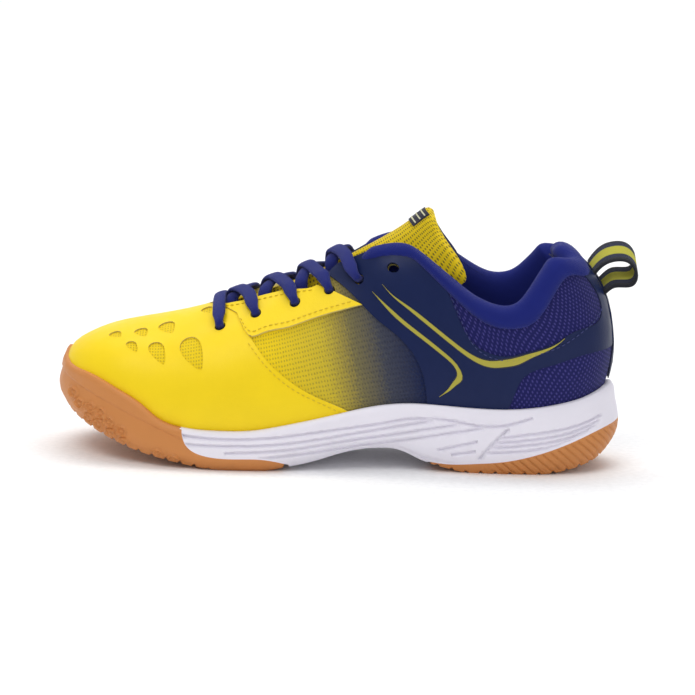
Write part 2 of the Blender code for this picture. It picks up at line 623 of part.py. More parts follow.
upper.solid("vamp_mesh", whole & front, MESH_LAYER, make_material("vamp_mesh", (0.80, 0.58, 0.04), 0.8))
upper.solid("quarter_mesh", whole & ~back, MESH_LAYER, make_material("quarter_mesh", BLUE, 0.8))
upper.solid("vamp_film", whole & upper.select(VAMP_FRONT) & ~stays[-1] & ~stays[1], FILM_LAYER,
            make_material("vamp_film", YELLOW, 0.45))
for side, word in ((-1, "lateral"), (1, "medial")):
    upper.solid("eyestay_" + word, whole & stays[side], EYESTAY_LAYER, make_material("eyestay_" + word, YELLOW, 0.5))
    upper.solid("quarter_film_" + word, whole & upper.select(FILM[side]), FILM_LAYER,
                make_material("quarter_film_" + word, NAVY, 0.35))
upper.solid("heel_stay", whole & upper.select(HEEL_STAY), EYESTAY_LAYER, make_material("heel_stay", NAVY, 0.5))
upper.solid("vamp_lining", whole & ~inner_hole & upper.select(LINING_FRONT) & ~pad, LINING_LAYER,
            make_material("vamp_lining", (0.75, 0.62, 0.25), 0.85))
upper.solid("toe_puff", whole & ~inner_hole & upper.select(TOE_FRONT), STIFFENER_LAYER,
            make_material("toe_puff", (0.75, 0.72, 0.65), 0.6))
upper.solid("heel_counter", whole & ~inner_hole & upper.select(COUNTER_BACK), STIFFENER_LAYER,
            make_material("heel_counter", (0.75, 0.72, 0.65), 0.6))
upper.solid("collar_foam", whole & ~inner_hole & pad, FOAM_LAYER, make_material("collar_foam", (0.85, 0.82, 0.70), 0.9))
upper.solid("collar_lining", whole & ~inner_hole & pad, COLLAR_LINING_LAYER,
            make_material("collar_lining", BLUE, 0.9))

# ---- the boards and plate under the foot ----------------------------------------------------------------------
def bottom_plate(name, margin, p_from, p_to, layer, material, half=None):
    """A plate under the foot; q is measured either side of the seam line, which runs down its middle."""
    p = np.concatenate([[p_from], np.arange(p_from + 5, p_to - 4, LATTICE), [p_to]])
    share = np.array([-1.0, -0.78, -0.45, 0.0, 0.45, 0.78, 1.0])
    points, faces, rows = [], [], []
    for k, at in enumerate(p):
        ends = min(at - p_from, p_to - at) / 22.0
        width = (feather_turn(at) - margin) if half is None else half
        width = max(float(width), 3.0) * (math.sqrt(min(1.0, 0.12 + ends)) if half is None else 1.0)
        rows.append((np.full(7, at), Q_SEAM + share * width))
    grid_p = np.concatenate([r[0] for r in rows])
    grid_q = np.concatenate([r[1] for r in rows])
    count, wide = len(grid_p), len(share)
    for stand in layer:
        points.append(skin(grid_p, grid_q, stand))
    for k in range(len(p) - 1):
        for i in range(wide - 1):
            a, b, c, d = k * wide + i, k * wide + i + 1, (k + 1) * wide + i + 1, (k + 1) * wide + i
            faces += [(a, b, c, d), (a + count, d + count, c + count, b + count)]
    edge = ([i for i in range(wide)] + [k * wide + wide - 1 for k in range(1, len(p))]
            + [(len(p) - 1) * wide + i for i in range(wide - 2, -1, -1)] + [k * wide for k in range(len(p) - 2, 0, -1)])
    faces += [(a, b, b + count, a + count) for a, b in zip(edge, edge[1:] + edge[:1])]
    return make_object(name, np.concatenate(points), faces, material)


bottom_plate("strobel_board", 3.0, FEATHER_P[0] + 9, FEATHER_P[1] - 9, STROBEL_LAYER,
             make_material("strobel_board", (0.80, 0.78, 0.72), 0.9))
bottom_plate("sockliner", 3.0, FEATHER_P[0] + 9, FEATHER_P[1] - 9, SOCKLINER_LAYER,
             make_material("sockliner", (0.05, 0.08, 0.35), 0.9))
PLATE_P = (float(np.interp(-16, RING_ROWS[:12, 2], RING_P[:12])), float(np.interp(50, RING_ROWS[:12, 2], RING_P[:12])))
bottom_plate("shank_plate", 0.0, *PLATE_P, (1.8, 3.0), make_material("shank_plate", (0.05, 0.05, 0.06), 0.4), half=14.0)
shank_pocket = bottom_plate("shank_pocket", 0.0, PLATE_P[0] - 1, PLATE_P[1] + 1, (0.6, 3.4), None, half=15.0)

# ---- the sole unit ---------------------------------------------------------------------------------------------
def height(profile, x):
    xs, zs = np.array(profile, float).T
    return np.interp(x, xs, zs)


def sole_edge():
    """The bottom edge and the top rim, from the toe down the lateral side to the heel and back medially."""
    bottom, rim = [], []
    for side, plan in ((-1, EDGE_LATERAL), (1, EDGE_MEDIAL)):
        plan = spread_line(plan, STATIONS)
        top = spread_line([SOLE_TOP_TOE] + SOLE_TOP_LATERAL + [(144.0, SOLE_TOP_HEEL_Z)], STATIONS)
        low = np.stack([plan[:, 0], plan[:, 1], height(SOLE_BOTTOM, plan[:, 0])], 1)
        pq = locate(top, side)
        crest = np.linspace(1, P_END, 900)
        front = float(np.interp(SOLE_TOP_TOE[1], RING_AT(crest)[:, 1], crest))
        heel = float(np.interp(SOLE_TOP_HEEL_Z, RING_ROWS[10:14, 3], RING_P[10:14]))
        pq[0], pq[-1] = (front, 0.0), (heel, side * Q_SEAM)
        rim.append(skin(pq[:, 0], pq[:, 1], RIM_STAND))
        bottom.append(low)
    loop = [np.concatenate([lines[0], lines[1][-2:0:-1]]) for lines in (bottom, rim)]
    return loop


def outward(loop):
    """Unit outward directions in plan at each point of a loop."""
    ahead = np.roll(loop, -1, axis=0) - np.roll(loop, 1, axis=0)
    out = np.stack([-ahead[:, 1], ahead[:, 0], np.zeros(len(loop))], 1) * -1
    out /= np.linalg.norm(out, axis=1)[:, None]
    return out


# The wall of the sole unit: height as a share of the way from bottom edge to rim, and how far it bulges (mm).
WALL_PROFILE = [(0.0, -1.5), (0.0, 0.0), (0.07, 1.6), (0.28, 4.0), (0.55, 3.4), (0.8, 1.8), (0.97, 0.3),
                (1.0, -0.4)]


def sole_block(name, inset, floor, drop):
    """The whole sole unit's outside, or the same drawn in by inset, floor and drop."""
    low, rim = sole_edge()
    ends = np.clip((np.abs(low[:, 0]) - 100) / 40, 0, 1)
    loops = []
    for share, bulge in WALL_PROFILE:
        loop = low + (rim - low) * share
        out = outward(low) * (1 - share) + outward(rim) * share
        loop = loop + out * ((bulge * (1 + 0.25 * ends))[:, None] - inset)
        loops.append(loop)
    bottom = loops[0] - outward(low) * 6.0
    bottom[:, 2] = height(SOLE_BOTTOM, bottom[:, 0])
    loops[0][:, 2] = height(SOLE_BOTTOM, loops[0][:, 0])
    loops = [bottom] + loops
    for k in range(3):
        loops[k] = loops[k] + (0, 0, floor)
    loops[2][:, 2] += 0.5
    lowered = loops[-1].copy()
    if drop:
        for k in range(3, len(loops)):
            loops[k][:, 2] += floor * max(0.0, 1 - (k - 2) / 3)
        loops[-1][:, 2] -= drop
        loops[-2][:, 2] -= drop
        loops[-3][:, 2] -= drop * 0.6
    cap = loops[-1] - outward(rim) * 5.0
    loops.append(cap)
    return loop_stack(name, loops)


def last_envelope():
    """The lasted upper's outside, grown to the sole unit's cavity."""
    ps = np.concatenate([[0.6], RING_P[1] * np.array([0.35, 0.7]), np.arange(RING_P[1], P_END, 9.0), [P_END]])
    turns = np.arange(28) * 2 * Q_SEAM / 28
    rings = [skin(np.full(28, p), turns, SOLE_CAVITY) for p in ps]
    points = np.concatenate(rings + [last_point(0.0, 0.0) - (SOLE_CAVITY, 0, 0), rings[-1].mean(0)[None]])
    faces = [(k * 28 + i, k * 28 + (i + 1) % 28, (k + 1) * 28 + (i + 1) % 28, (k + 1) * 28 + i)
             for k in range(len(ps) - 1) for i in range(28)]
    last = (len(ps) - 1) * 28
    faces += [(len(points) - 2, (i + 1) % 28, i) for i in range(28)]
    faces += [(len(points) - 1, last + i, last + (i + 1) % 28) for i in range(28)]
    return make_object("last_envelope", points, faces, None)


def gum_profile(grow):
    """Side-view outlines of the two outsole pieces, grown upward by some mm."""
    fore = [(-160.0, 70.0), (-91.5 + grow, 70.0)] + [(x + grow * 0.6, z + grow * 0.8) for x, z in GUM_TOP_FORE]
    fore += [(FORE_END_X + grow, -6.0), (-160.0, -6.0)]
    heel = [(HEEL_START_X - grow, -6.0)] + [(x - grow, z + grow) for x, z in GUM_TOP_HEEL]
    heel += [(160.0, 32.0 + grow), (160.0, -6.0)]
    return fore, heel


def tread_cutters():
    cutters = []
    for centre, step, count, lean in ((-52.0, 11.0, 5, 0.35), (90.0, 11.0, 4, -0.3)):
        for k in range(count):
            x = centre + (k - (count - 1) / 2) * step
            half = TREAD_WIDTH / 2
            points = [(x + dx + lean * y, y, z) for z in (-2.0, TREAD_DEPTH) for y in (-60.0, 60.0) for dx in (-half, half)]
            faces = [(0, 1, 3, 2), (4, 6, 7, 5), (0, 4, 5, 1), (2, 3, 7, 6), (0, 2, 6, 4), (1, 5, 7, 3)]
            cutters.append(make_object("tread_cutter", points, faces, None, smooth=False))
    return cutters


envelope = last_envelope()
core = sole_block("core", OUTSOLE_WALL, OUTSOLE_FLOOR, 7.0)
core_small = sole_block("core_small", OUTSOLE_WALL + 0.3, OUTSOLE_FLOOR + 0.3, 7.5)
fore_outline, heel_outline = gum_profile(0.0)
fore_grown, heel_grown = gum_profile(0.3)
treads = tread_cutters()
for name, outline in (("outsole_forefoot", fore_outline), ("outsole_heel", heel_outline)):
    gum = sole_block(name, 0.0, 0.0, 0.0)
    gum.data.materials.append(make_material(name, GUM, 0.6))
    prism = side_prism("prism", outline, -80, 80)
    apply_boolean(gum, prism, "INTERSECT")
    apply_boolean(gum, core, "DIFFERENCE")
    apply_boolean(gum, envelope, "DIFFERENCE")
    for cutter in treads:
        apply_boolean(gum, cutter, "DIFFERENCE")
    remove(prism)
    clean(gum)
midsole = sole_block("midsole", 0.0, 0.0, 0.0)
midsole.data.materials.append(make_material("midsole", WHITE, 0.55))
for outline in (fore_grown, heel_grown):
    prism = side_prism("prism", outline, -80, 80)
    apply_boolean(midsole, prism, "DIFFERENCE")
    remove(prism)
apply_boolean(midsole, core_small, "UNION")
apply_boolean(midsole, envelope, "DIFFERENCE")
apply_boolean(midsole, shank_pocket, "DIFFERENCE")
clean(midsole)
remove(envelope, core, core_small, shank_pocket, *treads)

# ---- the tongue ------------------------------------------------------------------------------------------------
TONGUE_SIDE = [(-64.0, 68.0), (-45.0, 66.0), (-20.0, 76.0), (8.0, 88.0), (34.0, 95.0), (55.0, 96.0),
               (62.0, 101.0), (60.0, 107.0), (50.0, 121.0), (44.0, 130.0)]
TONGUE_TOP_P = on_crest(43.0, 0.0, 1)[0]
TONGUE_BASE_P = on_crest(-68.0, 0.0, 1)[0]


def tongue_stand(p, q):
    """The tongue's outer face, in mm from the reference skin: proud in the throat, tucked in under the sides."""
    side = np.clip((np.abs(q) - 2.0) / 6.5, 0, 1)
    side = side * side * (3 - 2 * side)
    along = np.clip((p - 150.0) / 26.0, 0, 1)
    base = np.clip((p - TONGUE_BASE_P) / 26.0, 0, 1)
    centre = -6.6 + 3.8 * base * base * (3 - 2 * base)
    return centre + side * ((-6.8 - 3.6 * along) - centre)


def tongue_outline():
    sides = []
    for side in (-1, 1):
        line = smooth_line(locate(TONGUE_SIDE, side), 9.0)
        sides.append(line)
    return np.concatenate([[(TONGUE_BASE_P, 0.0)], sides[0], [(TONGUE_TOP_P, 0.0)], sides[1][::-1]])


tongue_edge = tongue_outline()
label_edge = np.array([(p, q) for p, q in ((TONGUE_TOP_P - 26, -9), (TONGUE_TOP_P - 26, 9), (TONGUE_TOP_P - 8, 9),
                                            (TONGUE_TOP_P - 8, -9))], float)
tongue = Net([tongue_edge, label_edge], (TONGUE_BASE_P - 4, TONGUE_TOP_P + 3), 9.5)
tongue_cells = tongue.select([tongue_edge])
for name, low, high, colour in (("tongue_shell", 0.8, 0.0, YELLOW), ("tongue_foam", 4.0, 1.1, (0.85, 0.82, 0.70)),
                                ("tongue_lining", 5.1, 4.3, BLUE)):
    layer = tuple((lambda p, q, d=d: tongue_stand(p, q) - d) for d in (low, high))
    tongue.solid(name, tongue_cells, layer, make_material(name, colour, 0.85))
label_layer = tuple((lambda p, q, d=d: tongue_stand(p, q) + d) for d in (0.3, 0.9))
tongue.solid("tongue_label", tongue.select([label_edge]), label_layer, make_material("tongue_label", (0.05, 0.05, 0.07), 0.5))

# ---- the lace ---------------------------------------------------------------------------------------------------
LACED = 5                          # pairs of eyelets in use, from the toe
OVER, UNDER = EYESTAY_LAYER[1] + LACE_THICKNESS / 2 + 0.5, LINING_LAYER[0] - LACE_THICKNESS / 2 - 0.5


def throat_edge(p):
    """|q| of the throat's edge at p."""
    line = OPENING[0][1:40]
    line = line[:int(np.argmax(line[:, 0] > 215))]
    return float(np.interp(p, line[:, 0], np.abs(line[:, 1])))


def lace_half(side):
    """(p, q, stand) from the middle of the first bar to the tucked-in end; side is where it goes in first."""
    centres = {s: locate(EYELETS, s) for s in (-1, 1)}
    p, q = centres[side][0]
    path = [(p, 0.0, OVER + 0.2), (p, q * 0.3, OVER + 0.3), (p, q * 0.6, OVER + 0.3), (p, q - side * 2.6, OVER + 0.2)]
    for k in range(LACED):
        p, q = centres[side][k]
        path += [(p, q, OVER), (p, q, 0.0), (p, q, UNDER)]
        if k == LACED - 1:
            path += [(p + 5, q + side * 1.0, UNDER - 0.5), (p + 11, q + side * 1.5, UNDER - 1.0)]
            break
        p1, q1 = centres[-side][k + 1]
        lift = 2.6 if side > 0 else 0.0
        edge = min(throat_edge(p + step) for step in (0, 4, 8))
        path += [(p + 1.5, q - side * 3.5, UNDER), (p + 3.0, side * (edge - 0.8), UNDER),
                 (p + 5.0, side * (edge - 5.8), 0.3), ((p + p1) / 2, 0.0, 1.4 + lift),
                 (p1 - 3.0, -side * (throat_edge(p1 - 3) - 2.0), OVER), (p1 - 1.8, -side * 17.0, OVER + 0.3),
                 (p1 - 1.0, q1 + side * 3.2, OVER)]
        side = -side
    return np.array(path)


halves = [skin(*lace_half(side).T) for side in (-1, 1)]
route = np.concatenate([halves[0][::-1], halves[1][1:]])
route = round_corners(route, 0.25)
near_hole = np.min(np.linalg.norm(route[:, None] - np.concatenate(
    [last_point(*locate(EYELETS, s).T) for s in (-1, 1)])[None], axis=2), axis=1)
width = LACE_IN_EYELET + (LACE_WIDTH - LACE_IN_EYELET) * np.clip((near_hole - 3.5) / 5.0, 0, 1)
along = np.gradient(last_point(np.linspace(90, 200, 50), np.zeros(50)), axis=0)
crest_x = last_point(np.linspace(90, 200, 50), np.zeros(50))[:, 0]
across = np.stack([np.interp(route[:, 0], crest_x, along[:, k]) for k in range(3)], 1)
ribbon("lace", route, across, width, LACE_THICKNESS, make_material("lace", BLUE, 0.8))
for word, end, before, over in (("lateral", route[0], route[1], across[0]), ("medial", route[-1], route[-2], across[-1])):
    ahead = (end - before) / np.linalg.norm(end - before)
    aglet = end + ahead * np.array([[0.3], [4.0], [AGLET_LENGTH]])
    ribbon("aglet_" + word, aglet, np.tile(over, (3, 1)), np.full(3, AGLET_WIDTH), LACE_THICKNESS,
           make_material("aglet_" + word, (0.02, 0.03, 0.10), 0.3))

# ---- the pull loop -----------------------------------------------------------------------------------------------
LOOP_WIDTH, LOOP_THICKNESS = 17.0, 1.6
LOOP_PATH = [(132.8, 107.2), (136.5, 111.6), (142.0, 114.2), (147.5, 113.4), (151.8, 108.0),
             (152.4, 102.4), (148.6, 98.4), (141.6, 95.6)]
loop_line = smooth_line(LOOP_PATH, 4.0)
loop_3d = np.stack([loop_line[:, 0], np.zeros(len(loop_line)), loop_line[:, 1]], 1)
ribbon("pull_loop", loop_3d, np.tile((0.0, 1.0, 0.0), (len(loop_3d), 1)), np.full(len(loop_3d), LOOP_WIDTH), LOOP_THICKNESS,
       make_material("pull_loop", NAVY, 0.8), sides=4)
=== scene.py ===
"""The court shoe's visible surfaces, laid over its rigid frame.

Lengths are worked out in millimetres and written to the meshes in metres. The toe points to -X, the lateral
(outer) side faces -Y. A place on the foot-shaped skin is (p, q): p in mm along it from the toe, q round it
from the crest, lateral negative; a stand is a distance out from that skin.
"""

import math

import bmesh
import bpy
import numpy as np
from mathutils import Matrix, Vector
from mathutils.geometry import delaunay_2d_cdt


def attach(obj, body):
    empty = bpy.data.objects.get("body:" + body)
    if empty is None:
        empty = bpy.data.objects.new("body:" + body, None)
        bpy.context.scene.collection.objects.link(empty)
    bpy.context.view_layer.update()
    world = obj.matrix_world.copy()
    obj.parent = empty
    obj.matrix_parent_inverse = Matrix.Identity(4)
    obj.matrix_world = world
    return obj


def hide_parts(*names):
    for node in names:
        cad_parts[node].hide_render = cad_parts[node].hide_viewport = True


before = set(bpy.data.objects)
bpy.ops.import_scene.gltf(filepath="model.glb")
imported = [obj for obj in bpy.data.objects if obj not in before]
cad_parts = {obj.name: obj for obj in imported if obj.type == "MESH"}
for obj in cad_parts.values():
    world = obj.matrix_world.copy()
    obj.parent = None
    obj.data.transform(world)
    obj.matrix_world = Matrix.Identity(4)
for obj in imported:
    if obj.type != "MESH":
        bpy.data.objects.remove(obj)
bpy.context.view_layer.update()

MM = 0.001
ORIGIN = (1.2, 1.0, 0.0)
LATTICE = 4.6             # spacing of the upper's surface points
LINE_STEP = 3.0           # spacing of the points along its outlines
SIDES = ((-1, "lateral"), (1, "medial"))
ROUND_SCALE = 42.0        # mm of q for each radian round the last
Q_SEAM = math.pi * ROUND_SCALE
FEATHER_TURN = 34.0
FEATHER_HEEL_Z = 33.0

# Rings of the last: crest x, z; sole or back x, z; sideways shift; lateral and medial half-width; section.
TOE, FORE, WAIST, COLLAR, HEEL = range(5)
SECTIONS = {
    # fractions of the way from sole to crest, then fractions of the half-width, at 30 degree steps
    TOE: ((0.05, 0.22, 0.47, 0.74, 0.93), (0.52, 0.88, 1.00, 0.85, 0.50)),
    FORE: ((-0.01, 0.07, 0.30, 0.65, 0.90), (0.62, 0.93, 1.00, 0.85, 0.48)),
    WAIST: ((0.00, 0.07, 0.28, 0.62, 0.88), (0.62, 0.92, 1.00, 0.85, 0.49)),
    COLLAR: ((0.00, 0.08, 0.28, 0.62, 0.90), (0.60, 0.90, 1.00, 0.93, 0.66)),
    HEEL: ((0.05, 0.20, 0.46, 0.72, 0.93), (0.50, 0.87, 1.00, 0.93, 0.60)),
}
RINGS = [
    (-145, 38, -145, 38, 6, 0, 0, TOE),
    (-142.5, 51.5, -141.5, 28.5, 6, 17, 17, TOE),
    (-135.5, 58, -133, 22, 5.5, 28, 27.5, TOE),
    (-120, 65, -116, 17.5, 4.5, 38, 37.5, TOE),
    (-98, 70.5, -94, 14.5, 3, 44.5, 44.5, FORE),
    (-72, 77, -68, 13, 1.5, 48, 48, FORE),
    (-46, 87, -38, 13, 0.5, 46.5, 46.5, WAIST),
    (-22, 97, -4, 15.5, 0, 42, 42, WAIST),
    (-2, 107.5, 30, 18.5, 0, 38, 37, WAIST),
    (14, 116.5, 66, 19.5, 0, 36, 35.5, COLLAR),
    (26, 124, 102, 19, 0, 35, 35, COLLAR),
    (34, 130, 132, 26, 0, 34.5, 34.5, HEEL),
    (39, 134, 141, 45, 0, 34.5, 34.5, HEEL),
    (43, 137, 143.3, 61, 0, 34, 34, HEEL),
    (46, 139, 141.5, 78, 0, 33, 33.5, HEEL),
    (48, 140, 136.5, 94, 0, 32, 32.5, HEEL),
    (49, 140.5, 127, 107, 0, 31, 31.5, HEEL),
    (50, 141, 114, 116, 0, 30, 30.5, HEEL),
]

# Side-view lines (x, z) on the lateral and medial sides.
RIM_LATERAL = [(-4, 101.8), (5, 106.8), (16, 112.4), (27, 115.2), (35, 114.5), (42, 110), (50, 103.5),
               (58, 97), (66, 91), (75, 86.6), (84, 84.6), (90.5, 85.7), (95.5, 90), (100, 97),
               (104.5, 104.5), (109, 110.5)]
RIM_MEDIAL = [(-4, 101.8), (5, 106.8), (16, 112.8), (27, 116.6), (36, 117.5), (46, 114), (56, 108),
              (65, 102), (73, 97.2), (80, 94.4), (87, 93.8), (93.5, 95.5), (99, 99.8), (104, 105.3),
              (109, 111)]
# The throat's edge: crest x, half-gap.
THROAT = [(-67, 4), (-63.5, 10), (-56, 13), (-44, 14.5), (-28, 16), (-15, 17.5)]
EYELETS = [(-62, 70.5), (-43.6, 77), (-23.6, 83.5), (-6.2, 90.5), (9, 97.3), (26, 104.6)]

# Sole unit: plan outline of the bottom edge (lateral then medial), and side-view heights by x.
EDGE_LATERAL = [(-146, 6), (-140.5, -13), (-126, -29), (-103, -41.5), (-75, -47.5), (-45, -47.5),
                (-12, -42), (25, -36.5), (65, -35), (100, -34.5), (125, -28), (139.5, -15.5), (144, 0)]
EDGE_MEDIAL = [(-146, 6), (-140.5, 25), (-126, 38.5), (-103, 47.5), (-75, 50), (-45, 46.5), (-12, 38.5),
               (25, 33.5), (65, 34), (100, 34), (125, 28), (139.5, 15.5), (144, 0)]
SOLE_BOTTOM = [(-150, 30), (-146, 26.5), (-135, 19.5), (-120, 12.8), (-100, 6.6), (-80, 2.6), (-62, 0),
               (-36, 0), (-26, 1.8), (-11, 5), (4, 9.6), (19, 12), (33, 11), (43, 6.5), (55, 2.6),
               (68, 0), (106, 0), (118, 1.6), (130, 4.6), (139, 8.4), (144, 12), (150, 17)]
SOLE_TOP_LATERAL = [(-143, 49), (-130, 44), (-113, 38.3), (-100, 31.5), (-91, 25.2), (-75, 21.6),
                    (-58, 21.3), (-43, 21.9), (-30, 24), (-15, 27), (0, 30.4), (18, 34.4), (33, 36.2),
                    (55, 35.8), (80, 34.5), (104, 35.6), (118, 38), (130, 41.5), (138, 44.5)]
SOLE_TOP_TOE = (-143.6, 52.0)
SOLE_TOP_HEEL_Z = 46.0
GUM_TOP_FORE = [(-92, 24), (-87, 16.5), (-80, 10.8), (-70, 7.6), (-55, 6.8), (-42, 6.8), (-34, 5.6),
                (-26, 3.4)]
GUM_TOP_HEEL = [(48, 5.6), (60, 4.6), (72, 5.4), (88, 7), (104, 10.4), (120, 15.4), (132, 20), (141, 24),
                (150, 28.5)]


def spline(knots, values):
    """The natural cubic spline through values (one row each) at knots, as a function of an array."""
    t, v = np.asarray(knots, float), np.asarray(values, float)
    v = v.reshape(len(t), -1)
    h = np.diff(t)
    a = np.eye(len(t))
    rhs = np.zeros_like(v)
    for i in range(1, len(t) - 1):
        a[i, i - 1:i + 2] = h[i - 1], 2 * (h[i - 1] + h[i]), h[i]
        rhs[i] = 6 * ((v[i + 1] - v[i]) / h[i] - (v[i] - v[i - 1]) / h[i - 1])
    m = np.linalg.solve(a, rhs)

    def at(x):
        x = np.atleast_1d(np.asarray(x, float))
        i = np.clip(np.searchsorted(t, x) - 1, 0, len(h) - 1)
        u = (x - t[i])[:, None]
        hi = h[i][:, None]
        w = hi - u
        return ((m[i] * w**3 + m[i + 1] * u**3) / (6 * hi)
                + (v[i] / hi - m[i] * hi / 6) * w + (v[i + 1] / hi - m[i + 1] * hi / 6) * u)

    return at


def unit(rows):
    return rows / np.linalg.norm(rows, axis=-1)[..., None]


def rows_at(places, knots, rows):
    """Rows read off at places between their knots, one column at a time."""
    return np.stack([np.interp(places, knots, rows[:, k]) for k in range(rows.shape[1])], 1)


def ease(t):
    return t * t * (3 - 2 * t)


def chord_knots(points):
    steps = np.linalg.norm(np.diff(np.asarray(points, float), axis=0), axis=1)
    return np.concatenate([[0], np.cumsum(steps)])


def smooth_line(points, step):
    """Points about step apart along the smooth curve through the given ones."""
    knots = chord_knots(points)
    count = max(2, int(round(knots[-1] / step)) + 1)
    return spline(knots, points)(np.linspace(0, knots[-1], count))


def spread_line(points, count):
    """count points, evenly spaced, along the smooth curve through the given ones."""
    fine = smooth_line(points, 1.0)
    knots = chord_knots(fine)
    at = np.linspace(0, knots[-1], count)
    return rows_at(at, knots, fine)


# ---- the last ----
def ring_table():
    rows = []
    for top_x, top_z, low_x, low_z, shift, lateral, medial, kind in RINGS:
        rise, width = SECTIONS[kind]
        rows.append([top_x, top_z, low_x, low_z, shift, lateral, medial, *rise, *width])
    rows = np.array(rows)
    step = 0.5 * (np.linalg.norm(np.diff(rows[:, 0:2], axis=0), axis=1)
                  + np.linalg.norm(np.diff(rows[:, 2:4], axis=0), axis=1))
    knots = np.concatenate([[0], np.cumsum(step)])
    return knots, rows


RING_P, RING_ROWS = ring_table()
RING_AT = spline(RING_P, RING_ROWS)
P_END = RING_P[-1]
NODE_ANGLES = np.arange(7) * math.pi / 6
RISE_BASIS = np.linalg.inv(np.cos(np.outer(NODE_ANGLES, np.arange(7))))
WIDTH_BASIS = np.linalg.inv(np.sin(np.outer(NODE_ANGLES[1:6], np.arange(1, 6))))


def last_point(p, q):
    """The reference skin at (p, q), in mm."""
    p, q = np.broadcast_arrays(np.atleast_1d(np.asarray(p, float)), np.atleast_1d(np.asarray(q, float)))
    row = RING_AT(p)
    turn = (q / ROUND_SCALE + math.pi) % (2 * math.pi) - math.pi
    angle = math.pi - np.abs(turn)
    rise_nodes = np.concatenate([np.zeros((len(p), 1)), row[:, 7:12], np.ones((len(p), 1))], 1)
    rise = ((rise_nodes @ RISE_BASIS.T) * np.cos(np.outer(angle, np.arange(7)))).sum(1)
    width = ((row[:, 12:17] @ WIDTH_BASIS.T) * np.sin(np.outer(angle, np.arange(1, 6)))).sum(1)
    half = np.where(turn < 0, row[:, 5], row[:, 6])
    x = row[:, 2] + rise * (row[:, 0] - row[:, 2])
    z = row[:, 3] + rise * (row[:, 1] - row[:, 3])
    return np.stack([x, row[:, 4] + np.sign(turn) * half * width, z], 1)


def last_normal(p, q):
    p, q = np.broadcast_arrays(np.atleast_1d(np.asarray(p, float)), np.atleast_1d(np.asarray(q, float)))
    inside = np.clip(p, 2.0, P_END - 0.5)
    along = last_point(inside + 0.5, q) - last_point(inside - 0.5, q)
    across = last_point(inside, q + 0.5) - last_point(inside, q - 0.5)
    normal = unit(np.cross(along, across))
    pole = (p < 0.01)[:, None]
    return np.where(pole, np.array([-1.0, 0.0, 0.0]), normal)


def skin(p, q, stand):
    return last_point(p, q) + last_normal(p, q) * np.broadcast_to(stand, np.shape(p))[..., None]


def locate(points, side):
    """(p, q) of side-view points (x, z) on the lateral (-1) or medial (1) side."""
    grid = np.linspace(0.5, P_END, 900)
    row = RING_AT(grid)
    top, low = row[:, 0:2], row[:, 2:4]
    angles = np.linspace(0, math.pi, 400)
    found = []
    for point in np.asarray(points, float):
        d, r = top - low, point - low
        cross = d[:, 0] * r[:, 1] - d[:, 1] * r[:, 0]
        share = (d * r).sum(1) / (d * d).sum(1)
        change = np.where((cross[:-1] * cross[1:] <= 0) & (share[:-1] > -0.1) & (share[:-1] < 1.1))[0]
        i = change[0] if len(change) else int(np.argmin(np.abs(cross)))
        j = min(i + 1, len(grid) - 1)
        t = cross[i] / (cross[i] - cross[j]) if cross[i] != cross[j] else 0.0
        p = grid[i] + t * (grid[j] - grid[i])
        at = RING_AT(p)[0]
        up = at[0:2] - at[2:4]
        rise_here = float(((point - at[2:4]) * up).sum() / (up ** 2).sum())
        nodes = np.concatenate([[0], at[7:12], [1]]) @ RISE_BASIS.T
        rises = (np.cos(np.outer(angles, np.arange(7))) * nodes).sum(1)
        rising = np.maximum.accumulate(rises)
        angle = np.interp(rise_here, rising, angles)
        found.append((p, side * (math.pi - angle) * ROUND_SCALE))
    return np.array(found)


# ---- outlines in (p, q) ----

def on_crest(x, half_gap, side):
    """(p, q) of the point that stands half_gap beside the crest, on the ring whose crest is at x."""
    grid = np.linspace(1, P_END, 900)
    p = float(np.interp(x, RING_AT(grid)[:, 0], grid))
    qs = np.linspace(0, 60, 200) * side
    offsets = np.abs(last_point(np.full(200, p), qs)[:, 1] - last_point(p, 0.0)[0, 1])
    return p, float(np.interp(half_gap, offsets, np.abs(qs))) * side


def inside(polygon, points):
    """Even-odd test of points in a closed polygon."""
    x, y = points[:, 0], points[:, 1]
    found = np.zeros(len(points), bool)
    for (x0, y0), (x1, y1) in zip(polygon, np.roll(polygon, -1, axis=0)):
        if y1 != y0:
            found ^= ((y0 > y) != (y1 > y)) & (x < (x1 - x0) * (y - y0) / (y1 - y0) + x0)
    return found


def circle_at(centre, radius, sides=20):
    """A round hole's outline in (p, q) about a place on the last."""
    p, q = centre
    scale_p = np.linalg.norm(last_point(p + 0.5, q)[0] - last_point(p - 0.5, q)[0])
    scale_q = np.linalg.norm(last_point(p, q + 0.5)[0] - last_point(p, q - 0.5)[0])
    turns = (np.arange(sides) + 0.5) * 2 * math.pi / sides
    return np.stack([p + np.cos(turns) * radius / scale_p, q + np.sin(turns) * radius / scale_q], 1)


# ---- regions of the upper, as closed outlines in (p, q) ----
def heel_p(z):
    """p of the heel seam's point at height z."""
    return float(np.interp(z, RING_ROWS[10:14, 3], RING_P[10:14]))


FEATHER_P = (RING_P[1] + 1.0, heel_p(FEATHER_HEEL_Z))
THROAT_END_P = on_crest(-70.0, 0.0, 1)[0]


def feather_turn(p):
    """How far round from the seam line the lasted edge lies at p."""
    start, end = FEATHER_P
    return FEATHER_TURN * np.sqrt(np.clip(np.minimum(p - start, end - p) / 30.0, 0, 1))


